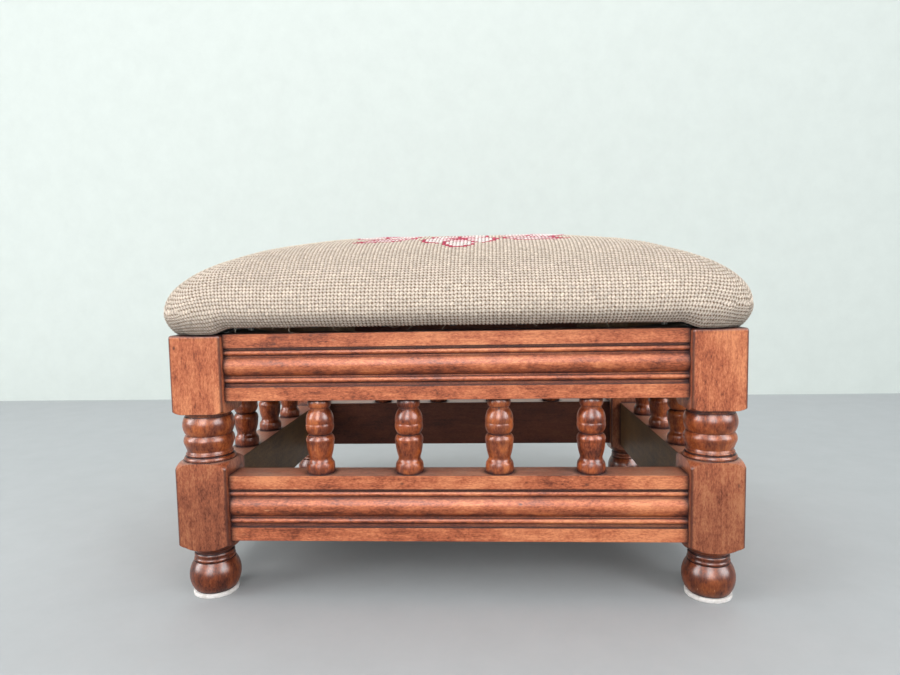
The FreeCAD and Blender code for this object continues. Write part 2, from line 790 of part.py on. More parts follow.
def make_dust_cloth():
    """Black cloth tacked under the seat, with its corners cut away round the cover's folds."""
    body = new_body("dust_cloth")
    bottom = seat_bottom - size("dust_cloth_thickness")
    far_x = board_half_x - size("dust_cloth_inset")
    far_y = board_half_y - size("dust_cloth_inset")
    fold = size("corner_fold_size") + size("corner_fold_inset") + size("dust_cloth_corner_gap")
    near_x = board_half_x - fold
    near_y = board_half_y - fold
    outline = new_sketch(body, "cloth_outline", lift=bottom)
    draw_outline(outline, [
        (near_x, -far_y, None), (near_x, -near_y, None), (far_x, -near_y, None), (far_x, near_y, None),
        (near_x, near_y, None), (near_x, far_y, None), (-near_x, far_y, None), (-near_x, near_y, None),
        (-far_x, near_y, None), (-far_x, -near_y, None), (-near_x, -near_y, None), (-near_x, -far_y, None),
    ])
    extrude(body, "Pad", "cloth", outline, size("dust_cloth_thickness"))
    for name, spots, shank, room in (
        ("screw", screw_spots(), "screw_shank_radius", "screw_hole_clearance"),
        ("tack", tack_spots(), "tack_shank_radius", "hole_clearance"),
    ):
        holes = new_sketch(body, name + "_holes", lift=bottom)
        draw_circles(holes, spots, size(shank) + size(room))
        extrude(body, "Pocket", name + "_piercing", holes, size("dust_cloth_thickness"), reverse=True)
    return body


# Corner blocks and fasteners


def make_corner_block(corner):
    """A glued block across the inner corner of the upper frame, notched round the post."""
    body = new_body(corner + "_corner_block")
    inset = size("screw_inset")
    near = -inset
    leg = size("corner_block_leg") - inset
    notch = post_size - size("rail_recess") - size("rail_thickness") + size("block_notch_clearance") - inset
    outline = new_sketch(body, "block_outline")
    draw_outline(outline, [
        (notch, near, None), (leg, near, None), (near, leg, None), (near, notch, None), (notch, notch, None),
    ])
    extrude(body, "Pad", "block", outline, size("corner_block_height"))
    bore = new_sketch(body, "screw_hole_outline", "XZ_Plane")
    radius = size("screw_shank_radius") + size("screw_hole_clearance")
    head = size("screw_head_radius") + size("screw_hole_clearance")
    top = size("corner_block_height")
    draw_outline(bore, [
        (ZERO, ZERO, None), (head, ZERO, None), (radius, size("screw_head_height"), None),
        (radius, top, None), (ZERO, top, None),
    ])
    revolve(body, "Groove", "countersunk_hole", bore)
    x, y, turn = corner_spot(corner, size("rail_recess") + size("rail_thickness") + inset)
    place(body, x, y, frame_top - size("corner_block_height"), turn)
    return body


def turned_master(name, corners):
    """One fastener turned at the origin, the pattern for its group."""
    body = new_body(name)
    outline = new_sketch(body, "outline", "XZ_Plane")
    draw_outline(outline, corners)
    revolve(body, "Revolution", "turning", outline)
    return body


def group(name, master, placements):
    """A group of separate like fasteners, copies of the master."""
    feature = doc.addObject("Part::Feature", name)
    feature.Label = name
    copies = []
    for placement in placements:
        copy = master.Shape.copy()
        copy.Placement = placement
        copies.append(copy)
    feature.Shape = Part.Compound(copies)
    return feature


def make_dowels():
    """Two dowels at each end of every rail, half in the rail and half in the post."""
    radius = size("dowel_radius")
    chamfer = size("dowel_chamfer")
    half = size("dowel_length") / 2
    master = turned_master("dowel_pattern", [
        (ZERO, -half, None), (radius - chamfer, -half, None), (radius, chamfer - half, None),
        (radius, half - chamfer, None), (radius - chamfer, half, None), (ZERO, half, None),
    ])
    end_x = front_rail_length.value / 2
    end_y = side_rail_length.value / 2
    line_x = half_width.value - rail_centre_inset.value
    line_y = half_depth.value - rail_centre_inset.value
    along_x = Rotation(Vector(0, 1, 0), 90)
    along_y = Rotation(Vector(1, 0, 0), 90)
    groups = []
    for level, bottom in rail_bottoms:
        middle = bottom.value + size("rail_height").value / 2
        placements = []
        for side_x in (-1, 1):
            for side_y in (-1, 1):
                for step in (-1, 1):
                    height = middle + step * size("dowel_spacing").value / 2
                    placements.append(Placement(Vector(side_x * end_x, side_y * line_y, height), along_x))
                    placements.append(Placement(Vector(side_x * line_x, side_y * end_y, height), along_y))
        groups.append(group(level + "_rail_dowels", master, placements))
    return groups


def make_screws():
    shank = size("screw_shank_radius")
    length = size("screw_length")
    master = turned_master("screw_pattern", [
        (ZERO, ZERO, None), (size("screw_head_radius"), ZERO, None),
        (shank, size("screw_head_height"), None), (shank, length - size("screw_tip_length"), None),
        (ZERO, length, None),
    ])
    base = (frame_top - size("corner_block_height")).value
    placements = [Placement(Vector(x.value, y.value, base), Rotation()) for x, y in screw_spots()]
    return group("seat_screws", master, placements)


def make_tacks():
    shank = size("tack_shank_radius")
    length = size("tack_length")
    head = size("tack_head_radius")
    crown = -size("tack_head_height")
    master = turned_master("tack_pattern", [
        (ZERO, crown, None), (size("tack_head_flat_radius"), crown, None),
        (head, -size("tack_head_rim"), None), (head, ZERO, None), (shank, ZERO, None),
        (shank, length - 3 * shank, None), (ZERO, length, None),
    ])
    base = (seat_bottom - size("dust_cloth_thickness")).value
    placements = [Placement(Vector(x.value, y.value, base), Rotation()) for x, y in tack_spots()]
    return group("seat_tacks", master, placements)


# Assembly


def build():
    pieces = [make_post(corner) for corner in CORNERS]
    pieces += [make_felt_pad(corner) for corner in CORNERS]
    pieces += make_rails()
    pieces += make_spindles()
    pieces += [make_board(), make_padding(), make_cover(), make_dust_cloth()]
    pieces += [make_corner_block(corner) for corner in CORNERS]
    pieces += make_dowels() + [make_screws(), make_tacks()]
    doc.recompute()
    return pieces


def check(pieces):
    for item in doc.Objects:
        if "Invalid" in item.State or "Error" in item.State:
            raise RuntimeError("%s did not compute: %s" % (item.Name, item.State))
    for piece in pieces:
        if piece.Shape.isNull() or not piece.Shape.isValid() or not piece.Shape.Solids:
            raise RuntimeError("%s has no valid solid" % piece.Label)


def export(pieces):
    os.makedirs("parts", exist_ok=True)
    for piece in pieces:
        piece.Shape.exportStep(os.path.join("parts", piece.Label + ".step"))
        print("%-28s %3d solids %12.1f mm3" % (piece.Label, len(piece.Shape.Solids), piece.Shape.Volume))


pieces = build()
check(pieces)
export(pieces)
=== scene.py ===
"""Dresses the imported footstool: polished wood, needlepoint seat, felt, fasteners and a plain stage."""

import math
import random

import bmesh
import bpy
from mathutils import Matrix, Vector, noise


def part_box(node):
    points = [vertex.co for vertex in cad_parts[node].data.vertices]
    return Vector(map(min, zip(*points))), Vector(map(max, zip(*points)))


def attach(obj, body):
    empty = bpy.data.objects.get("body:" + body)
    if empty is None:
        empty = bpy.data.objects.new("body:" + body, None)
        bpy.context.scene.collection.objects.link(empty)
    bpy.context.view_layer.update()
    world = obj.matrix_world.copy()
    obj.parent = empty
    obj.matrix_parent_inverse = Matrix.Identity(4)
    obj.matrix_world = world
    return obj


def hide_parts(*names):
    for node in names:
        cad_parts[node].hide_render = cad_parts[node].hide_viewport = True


bl_info = {
    "name": "Upholstered Footstool",
    "version": (1, 0, 0),
    "blender": (4, 5, 0),
    "location": "3D View > Sidebar > Footstool",
    "description": "Dresses a footstool frame with polished wood and a needlepoint seat",
    "category": "Object",
}

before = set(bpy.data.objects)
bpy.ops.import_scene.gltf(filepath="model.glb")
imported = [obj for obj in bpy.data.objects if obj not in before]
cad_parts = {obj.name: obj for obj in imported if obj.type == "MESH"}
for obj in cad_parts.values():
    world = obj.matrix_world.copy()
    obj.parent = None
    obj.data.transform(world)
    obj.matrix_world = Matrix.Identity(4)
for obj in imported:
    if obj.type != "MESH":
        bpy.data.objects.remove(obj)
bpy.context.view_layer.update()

MM = 0.001
CORNERS = ("front_left", "front_right", "rear_right", "rear_left")
SIDES = ("front", "right", "rear", "left")

CAMERA_PLACE = (0.02327, -0.57266, 0.21611)
CAMERA_YAW = 0.0570
CAMERA_PITCH = 0.0802
CAMERA_ROLL = 0.0184
CAMERA_LENS = 25.587

CROWN_POWER = 2.56
CROWN_RISE_POWER = 2.01
SIDE_HEIGHT = 11.1 * MM
SIDE_TUCK = 7.0 * MM
PLAN_CORNER = 27.0 * MM
FOLD_WIDTH = 25.0 * MM
CROWN_EASE = 1.0 / 1.2
CROWN_STEPS = 160
SIDE_STEPS = 24
FOLD_STEPS = 12
CORNER_PULL = 0.50
PLEATS = ((0.40, 0.075, -2.3), (0.60, 0.11, 1.0), (1.17, 0.075, -2.3), (0.97, 0.11, 1.0))
BOARD_GAP = 0.4 * MM
PUFF_FRAMES = 14
LINT_HAIRS = 64
HAIR_STEPS = 5
HAIR_RADIUS = 0.085 * MM
POST_TURNINGS = ((-0.010, 0.0350), (0.0980, 0.1315))
ALL_TURNED = ((0.0, 1.0),)

# Darker colour laid on the faces along the edges and on the rims of the post tops
DARK_EDGE = (0.060, 0.017, 0.011, 1.0)
DING = (0.040, 0.014, 0.012, 1.0)
SCUFF = (0.80, 0.42, 0.22, 1.0)
DUST = (0.26, 0.20, 0.165, 1.0)
# Painted shade for quirks, hollows and joints, laid by ambient occlusion
RECESS_SHADE_COLOUR = (0.018, 0.007, 0.008, 1.0)
# Golden tint of the turnings, also laid on downward faces as painted shade
SHELLAC_AND_SHADE_DARK = (0.20, 0.095, 0.04)
SHELLAC_AND_SHADE_LIGHT = (0.62, 0.40, 0.13)
STITCH_SHADOW = (0.20, 0.13, 0.06)
# Black of the turned-under edge: binding, and painted shade for the gap under the seat
BINDING_AND_GAP_SHADE = [0.012, 0.010, 0.009, 1.0]

# Name, place, size, power and colour of each soft light
LIGHTS = (
    ("overhead_softbox", (0.0, 0.45, 1.60), 1.7, 18.0, (1.0, 0.99, 0.98)),
    ("front_window", (-0.25, -2.00, 1.00), 0.8, 10.0, (1.0, 0.99, 0.98)),
    ("left_window", (-1.70, -0.80, 0.70), 0.9, 14.0, (1.0, 0.99, 0.98)),
    ("right_window", (1.35, -1.30, 0.80), 0.7, 10.0, (0.98, 0.99, 1.0)),
)


def dress(node, material):
    """Puts one material in every slot of a CAD node."""
    item = bpy.data.objects[node]
    if not item.material_slots:
        item.data.materials.append(material)
    for slot in item.material_slots:
        slot.material = material


def new_piece(name, bm, material):
    """Makes a smooth mesh object at the origin from a bmesh."""
    mesh = bpy.data.meshes.new(name)
    bm.to_mesh(mesh)
    bm.free()
    mesh.materials.append(material)
    mesh.shade_smooth()
    piece = bpy.data.objects.new(name, mesh)
    bpy.context.scene.collection.objects.link(piece)
    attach(piece, "root")
    return piece


# Materials


def new_material(name):
    material = bpy.data.materials.new(name)
    material.use_nodes = True
    tree = material.node_tree
    shader = tree.nodes["Principled BSDF"]
    return material, tree, shader


def feed(tree, node, values):
    """Sets inputs of a node to values, or links them to sockets."""
    for key, value in values.items():
        if isinstance(value, bpy.types.NodeSocket):
            tree.links.new(value, node.inputs[key])
        else:
            node.inputs[key].default_value = value


def add(tree, kind, values=None, **settings):
    """A shader node with its settings and inputs."""
    node = tree.nodes.new("ShaderNode" + kind)
    for key, value in settings.items():
        setattr(node, key, value)
    feed(tree, node, values or {})
    return node


def calc(tree, operation, first, second=0.0, clamp=False):
    node = add(tree, "Math", {0: first, 1: second}, operation=operation, use_clamp=clamp)
    return node.outputs[0]


def times(tree, first, second):
    return calc(tree, "MULTIPLY", first, second)


def weighed(tree, *parts):
    """The sum of values, each times its weight."""
    result = 0.0
    for value, weight in parts:
        result = calc(tree, "ADD", times(tree, value, weight), result)
    return result


def vector_calc(tree, operation, first, second):
    return add(tree, "VectorMath", {0: first, 1: second}, operation=operation).outputs[0]


def scaled(tree, vector, factor):
    """A vector or colour times a number."""
    return add(tree, "VectorMath", {0: vector, "Scale": factor}, operation="SCALE").outputs[0]


def roughen(tree, shader, strength, depth, height, **others):
    """Bumps a material by a height, as deep as depth in metres."""
    values = {"Strength": strength, "Distance": depth, "Height": height, **others}
    feed(tree, shader, {"Normal": add(tree, "Bump", values).outputs[0]})


def spread(tree, value, low, high, to_low=0.0, to_high=1.0):
    """Maps a value from one range to another, smoothly and clamped."""
    node = add(tree, "MapRange", {0: value, 1: low, 2: high, 3: to_low, 4: to_high})
    node.interpolation_type = "SMOOTHSTEP"
    return node.outputs[0]


def blend(tree, factor, first, second, mode="MIX"):
    values = {0: factor, 6: first, 7: second}
    return add(tree, "Mix", values, data_type="RGBA", blend_type=mode).outputs[2]


def stretched(tree, scale, turn=(0.0, 0.0, 0.0)):
    """Object coordinates scaled along each axis, in features per metre."""
    place = add(tree, "TexCoord").outputs["Object"]
    return add(tree, "Mapping", {"Vector": place, "Rotation": turn, "Scale": scale}).outputs[0]


def cloud(tree, vector, scale=1.0, detail=4.0, roughness=0.55, distortion=0.0):
    values = {"Vector": vector, "Scale": scale, "Detail": detail, "Roughness": roughness,
              "Distortion": distortion}
    return add(tree, "TexNoise", values).outputs["Fac"]


def ramp(tree, value, stops):
    node = add(tree, "ValToRGB", {0: value})
    band = node.color_ramp
    while len(band.elements) < len(stops):
        band.elements.new(0.5)
    for element, (position, colour) in zip(band.elements, stops):
        element.position = position
        element.color = (*colour, 1.0)
    return node.outputs[0]


def along(tree, axis, lengthwise, crosswise, turn=(0.0, 0.0, 0.0)):
    """Object coordinates for a grain that runs along one axis."""
    scale = tuple(lengthwise if item == axis else crosswise for item in range(3))
    return stretched(tree, scale, turn)


def arris_mask(tree, split, arris):
    """Marks the posts' upright edges and tops, from their (outer faces, breadth, top)."""
    outer, breadth, top = arris
    gaps = []
    for axis in range(2):
        place = calc(tree, "ABSOLUTE", split.outputs[axis])
        outside = calc(tree, "SUBTRACT", outer[axis], place)
        inside = calc(tree, "SUBTRACT", place, outer[axis] - breadth)
        gaps.append(calc(tree, "MINIMUM", outside, inside))
    upright = spread(tree, calc(tree, "MAXIMUM", *gaps), 0.7 * MM, 2.3 * MM, 0.85, 0.0)
    crest = spread(tree, split.outputs[2], top - 2.2 * MM, top - 0.8 * MM, 0.0, 0.8)
    return calc(tree, "MAXIMUM", upright, crest)


def turned_mask(tree, height, zones):
    """One inside the turned stretches of a piece, given as (bottom, top) heights."""
    mask = 0.0
    for low, high in zones:
        rise = spread(tree, height, low - 0.8 * MM, low + 0.8 * MM)
        fall = spread(tree, height, high - 0.8 * MM, high + 0.8 * MM, 1.0, 0.0)
        mask = calc(tree, "ADD", times(tree, rise, fall), mask)
    return mask


def polished_wood(name, axis, inner=None, painted_foot_shade=0.0, arris=None, turned=()):
    """Shellacked hardwood: speckled grain, blotches, dings, painted shade in the quirks and on downward
    faces, and dark edges.

    inner is the (axis, plane, dark, light) of the dull inner faces, whose colours carry painted shade,
    painted_foot_shade how much painted shade darkens the foot end, arris what arris_mask needs, and turned
    the heights of the golden, glossier turnings.
    """
    props = bpy.context.scene.footstool_wood
    material, tree, shader = new_material(name)
    streak = cloud(tree, along(tree, axis, 26.0, 380.0), detail=5.0, roughness=0.6, distortion=0.3)
    speckle = cloud(tree, along(tree, axis, 360.0, 950.0), detail=3.0, roughness=0.75)
    broad = cloud(tree, along(tree, axis, 14.0, 38.0), detail=3.0)
    blotch = cloud(tree, along(tree, axis, 70.0, 120.0), detail=4.0, roughness=0.65)
    tone = weighed(tree, (streak, 0.20), (speckle, 0.36), (broad, 0.30), (blotch, 0.24))
    colour = ramp(tree, tone, [(0.44, props.dark_tone), (0.54, props.middle_tone), (0.65, props.light_tone)])

    place = add(tree, "TexCoord").outputs["Object"]
    split = add(tree, "SeparateXYZ", {0: place})
    surface = add(tree, "NewGeometry")
    facing = add(tree, "SeparateXYZ", {0: surface.outputs["Normal"]}).outputs[2]
    # Painted shade: faces turned downwards take the darker golden tint of the turnings
    under = spread(tree, facing, -0.80, 0.10, 0.85, 0.0)
    amber_and_shade = times(tree, turned_mask(tree, split.outputs[2], turned), 0.80)
    amber_and_shade = calc(tree, "MAXIMUM", amber_and_shade, under)
    honey = ramp(tree, blotch, [(0.40, SHELLAC_AND_SHADE_DARK), (0.60, SHELLAC_AND_SHADE_LIGHT)])
    golden = blend(tree, 1.0, colour, honey, "MULTIPLY")
    colour = blend(tree, amber_and_shade, colour, golden)
    # Painted shade: the colour darkens towards the floor
    if painted_foot_shade:
        fall = spread(tree, split.outputs[2], 0.055, 0.150, 1.0 - painted_foot_shade, 1.0)
        colour = scaled(tree, colour, fall)

    spots = add(tree, "TexVoronoi", {"Vector": along(tree, axis, 62.0, 95.0), "Scale": 1.0})
    spot_mask = spread(tree, spots.outputs["Distance"], 0.04, 0.13, 1.0, 0.0)
    gate = spread(tree, cloud(tree, stretched(tree, (31.0, 31.0, 31.0))), 0.50, 0.60)
    spot_mask = times(tree, times(tree, spot_mask, gate), 0.80)
    colour = blend(tree, spot_mask, colour, DING)

    scuffs = cloud(tree, along(tree, axis, 90.0, 800.0, (0.06, 0.05, 0.04)), detail=3.0)
    scuff_gate = spread(tree, cloud(tree, stretched(tree, (24.0, 24.0, 24.0)), detail=2.0), 0.52, 0.64)
    scuff_mask = times(tree, spread(tree, scuffs, 0.66, 0.74), scuff_gate)
    colour = blend(tree, times(tree, scuff_mask, 0.50), colour, SCUFF)

    smooth_edge = add(tree, "Bevel", {"Radius": props.edge_wear * MM}, samples=4)
    turn = add(tree, "VectorMath", {0: smooth_edge.outputs[0], 1: surface.outputs["True Normal"]},
               operation="DOT_PRODUCT").outputs["Value"]
    edge = spread(tree, turn, 0.80, 0.97, 1.0, 0.0)
    edge = times(tree, edge, spread(tree, blotch, 0.38, 0.60, 0.80, 0.30))
    if arris:
        edge = calc(tree, "MAXIMUM", edge, arris_mask(tree, split, arris))
    # The faces along the edges are coloured darker
    colour = blend(tree, edge, colour, DARK_EDGE)
    dust = spread(tree, blotch, 0.35, 0.65, 0.25, 0.50)
    dust = times(tree, spread(tree, facing, 0.90, 0.99), dust)
    colour = blend(tree, dust, colour, DUST)

    # Painted shade: ambient occlusion darkens the quirks, hollows and joints
    shade = add(tree, "AmbientOcclusion", {"Distance": 5.0 * MM}, samples=6)
    recess_shade = spread(tree, shade.outputs["AO"], 0.52, 0.96, 0.98, 0.0)
    colour = blend(tree, recess_shade, colour, RECESS_SHADE_COLOUR)

    rough = weighed(tree, (blotch, 0.22), (recess_shade, 0.30), (props.roughness - 0.11, 1.0))
    if inner:
        inner_axis, plane, dull_shaded_dark, dull_shaded_light = inner
        inside = calc(tree, "LESS_THAN", calc(tree, "ABSOLUTE", split.outputs[inner_axis]), plane)
        # Inner faces: dull wood, darkened with painted shade
        dull_and_shaded = ramp(tree, tone, [(0.42, dull_shaded_dark), (0.66, dull_shaded_light)])
        colour = blend(tree, times(tree, inside, 0.92), colour, dull_and_shaded)
        rough = calc(tree, "ADD", rough, times(tree, inside, 0.30), clamp=True)

    feed(tree, shader, {"Base Color": colour, "Roughness": rough, "IOR": 1.5, "Specular IOR Level": 0.16,
                        "Coat Weight": 0.48 if turned else 0.32,
                        "Coat Roughness": 0.22 if turned else 0.36})
    bump = weighed(tree, (speckle, 0.55), (streak, 0.30), (spot_mask, -1.2))
    roughen(tree, shader, 0.40, 0.12 * MM, bump, Normal=smooth_edge.outputs[0])
    return material


def raw_wood(name, axis, dark, light):
    """Unfinished wood for the parts under the seat."""
    material, tree, shader = new_material(name)
    streak = cloud(tree, along(tree, axis, 14.0, 420.0), detail=5.0, distortion=0.6)
    broad = cloud(tree, along(tree, axis, 8.0, 45.0), detail=3.0)
    tone = weighed(tree, (streak, 0.55), (broad, 0.45))
    colour = ramp(tree, tone, [(0.34, dark), (0.66, light)])
    # Painted shade: ambient occlusion darkens hollows and joints
    shade = add(tree, "AmbientOcclusion", {"Distance": 6.0 * MM}, samples=6)
    recess_shade = spread(tree, shade.outputs["AO"], 0.25, 0.85, 0.6, 0.0)
    colour = blend(tree, recess_shade, colour, (0.05, 0.035, 0.025, 1.0))
    feed(tree, shader, {"Base Color": colour, "Roughness": 0.78})
    roughen(tree, shader, 0.5, 0.2 * MM, streak)
    return material


def wool_stitches():
    """Slanted wool stitches: one to each cell of the seat's UV map, in the colours kept on its faces."""
    props = bpy.context.scene.footstool_seat
    material, tree, shader = new_material("needlepoint_wool")
    grid = add(tree, "UVMap", uv_map="canvas").outputs[0]
    fuzz = add(tree, "TexNoise", {"Vector": grid, "Scale": 0.9, "Detail": 2.0},
               noise_dimensions="2D").outputs["Color"]
    waver = scaled(tree, vector_calc(tree, "SUBTRACT", fuzz, (0.5, 0.5, 0.5)), 0.42)
    grid = vector_calc(tree, "ADD", grid, waver)
    split = add(tree, "SeparateXYZ", {0: grid})
    across = times(tree, split.outputs[0], math.tau)
    upward = times(tree, split.outputs[1], math.tau)
    slant = calc(tree, "COSINE", calc(tree, "SUBTRACT", across, upward))
    pits = calc(tree, "ADD", calc(tree, "COSINE", across), calc(tree, "COSINE", upward))
    hole = spread(tree, pits, 0.45, 1.75)
    groove = times(tree, spread(tree, slant, -1.0, 0.2, 1.0, 0.0), 0.46)
    hollow = calc(tree, "MAXIMUM", hole, groove)
    bead = calc(tree, "SUBTRACT", 1.0, hollow)

    wool = add(tree, "VertexColor", layer_name="wool").outputs["Color"]
    strands = add(tree, "TexNoise", {"Vector": grid, "Scale": 5.5, "Detail": 3.0},
                  noise_dimensions="2D").outputs["Fac"]
    tint = spread(tree, strands, 0.30, 0.70, 0.78, 1.22)
    shadowed = vector_calc(tree, "MULTIPLY", wool, STITCH_SHADOW)
    colour = blend(tree, bead, shadowed, scaled(tree, wool, tint))
    surface = add(tree, "NewGeometry")
    facing = add(tree, "SeparateXYZ", {0: surface.outputs["Normal"]}).outputs[2]
    # Painted light and shade by facing: downward faces darker, the front lighter, the top darker
    facing_shade = spread(tree, facing, -0.85, 0.05, 0.66, 1.13)
    facing_shade = times(tree, facing_shade, spread(tree, facing, 0.35, 0.90, 1.04, 0.86))
    feed(tree, shader, {"Base Color": scaled(tree, colour, facing_shade), "Roughness": 0.95,
                        "Specular IOR Level": 0.15, "Sheen Weight": 0.08, "Sheen Roughness": 0.5,
                        "Sheen Tint": (0.95, 0.90, 0.82, 1.0)})
    height = calc(tree, "ADD", bead, times(tree, strands, 0.35))
    roughen(tree, shader, 0.9, props.stitch_relief * MM, height)
    return material


def black_cotton():
    """Thin black cotton with an open weave and lint."""
    material, tree, shader = new_material("black_cotton")
    place = add(tree, "TexCoord").outputs["Object"]
    split = add(tree, "SeparateXYZ", {0: place})
    warp = calc(tree, "SINE", times(tree, split.outputs[0], 7200.0))
    weft = calc(tree, "SINE", times(tree, split.outputs[1], 7200.0))
    weave = times(tree, warp, weft)
    lint = cloud(tree, stretched(tree, (240.0, 240.0, 240.0)), detail=4.0)
    colour = ramp(tree, lint, [(0.40, (0.006, 0.006, 0.006)), (0.72, (0.020, 0.019, 0.018))])
    feed(tree, shader, {"Base Color": colour, "Roughness": 0.92, "Sheen Weight": 0.15})
    roughen(tree, shader, 0.5, 0.1 * MM, weave)
    return material


def pressed_felt():
    """Pale wool felt, fuzzy and a little grubby at the floor."""
    material, tree, shader = new_material("pressed_felt")
    fibres = cloud(tree, stretched(tree, (900.0, 900.0, 900.0)), detail=6.0, roughness=0.7, distortion=1.2)
    dirt = cloud(tree, stretched(tree, (160.0, 160.0, 160.0)), detail=3.0)
    colour = ramp(tree, dirt, [(0.34, (0.60, 0.56, 0.52)), (0.60, (0.84, 0.81, 0.78))])
    colour = blend(tree, spread(tree, fibres, 0.3, 0.7, 0.25, 0.0), colour, (0.42, 0.39, 0.37, 1.0))
    feed(tree, shader, {"Base Color": colour, "Roughness": 0.96, "Sheen Weight": 0.3})
    roughen(tree, shader, 0.8, 0.3 * MM, fibres)
    return material


def aged_metal(name, dark, light, roughness):
    """Plain steel with stains and a fine brushed surface."""
    material, tree, shader = new_material(name)
    stain = cloud(tree, stretched(tree, (700.0, 700.0, 700.0)), detail=4.0)
    brush = cloud(tree, stretched(tree, (3000.0, 500.0, 500.0)), detail=2.0)
    colour = ramp(tree, stain, [(0.36, dark), (0.64, light)])
    rough = spread(tree, stain, 0.3, 0.7, roughness + 0.2, roughness)
    feed(tree, shader, {"Base Color": colour, "Roughness": rough, "Metallic": 0.9})
    roughen(tree, shader, 0.2, 0.05 * MM, brush)
    return material


# The seat's shape


def crown_share(level):
    """How much of its half size the seat has at a level of the crown, from 0 at the top to 1."""
    return math.sin(0.5 * math.pi * level) ** CROWN_EASE


def crown_height(share, crown_z, wide_z):
    return wide_z + (crown_z - wide_z) * max(0.0, 1.0 - share ** CROWN_POWER) ** (1.0 / CROWN_RISE_POWER)


class Meridian:
    """Arc length down the middle of one face of the seat, from the crown to the edge of the fold."""

    def __init__(self, half, crown_z, wide_z, low_z):
        self.levels = []
        for step in range(CROWN_STEPS + 1):
            share = crown_share(step / CROWN_STEPS)
            self.levels.append((step / CROWN_STEPS, half * share, crown_height(share, crown_z, wide_z)))
        for step in range(1, SIDE_STEPS + 1):
            part = step / SIDE_STEPS
            height = low_z + (wide_z - low_z) * (1.0 - part)
            self.levels.append((1.0 + part, half - SIDE_TUCK * part ** 2, height))
        for step in range(1, FOLD_STEPS + 1):
            part = step / FOLD_STEPS
            self.levels.append((2.0 + part, half - SIDE_TUCK - FOLD_WIDTH * part, low_z))
        self.lengths = [0.0]
        for before, after in zip(self.levels, self.levels[1:]):
            step = math.hypot(after[1] - before[1], after[2] - before[2])
            self.lengths.append(self.lengths[-1] + step)
        self.total = self.lengths[-1]
        self.edge = self.lengths[-1 - FOLD_STEPS]

    def level_at(self, length):
        """The level that lies this far down from the crown."""
        low, high = 0, len(self.lengths) - 1
        while high - low > 1:
            middle = (low + high) // 2
            if self.lengths[middle] <= length:
                low = middle
            else:
                high = middle
        gap = self.lengths[high] - self.lengths[low]
        part = (length - self.lengths[low]) / gap if gap > 0.0 else 0.0
        return self.levels[low][0] + (self.levels[high][0] - self.levels[low][0]) * min(1.0, part)


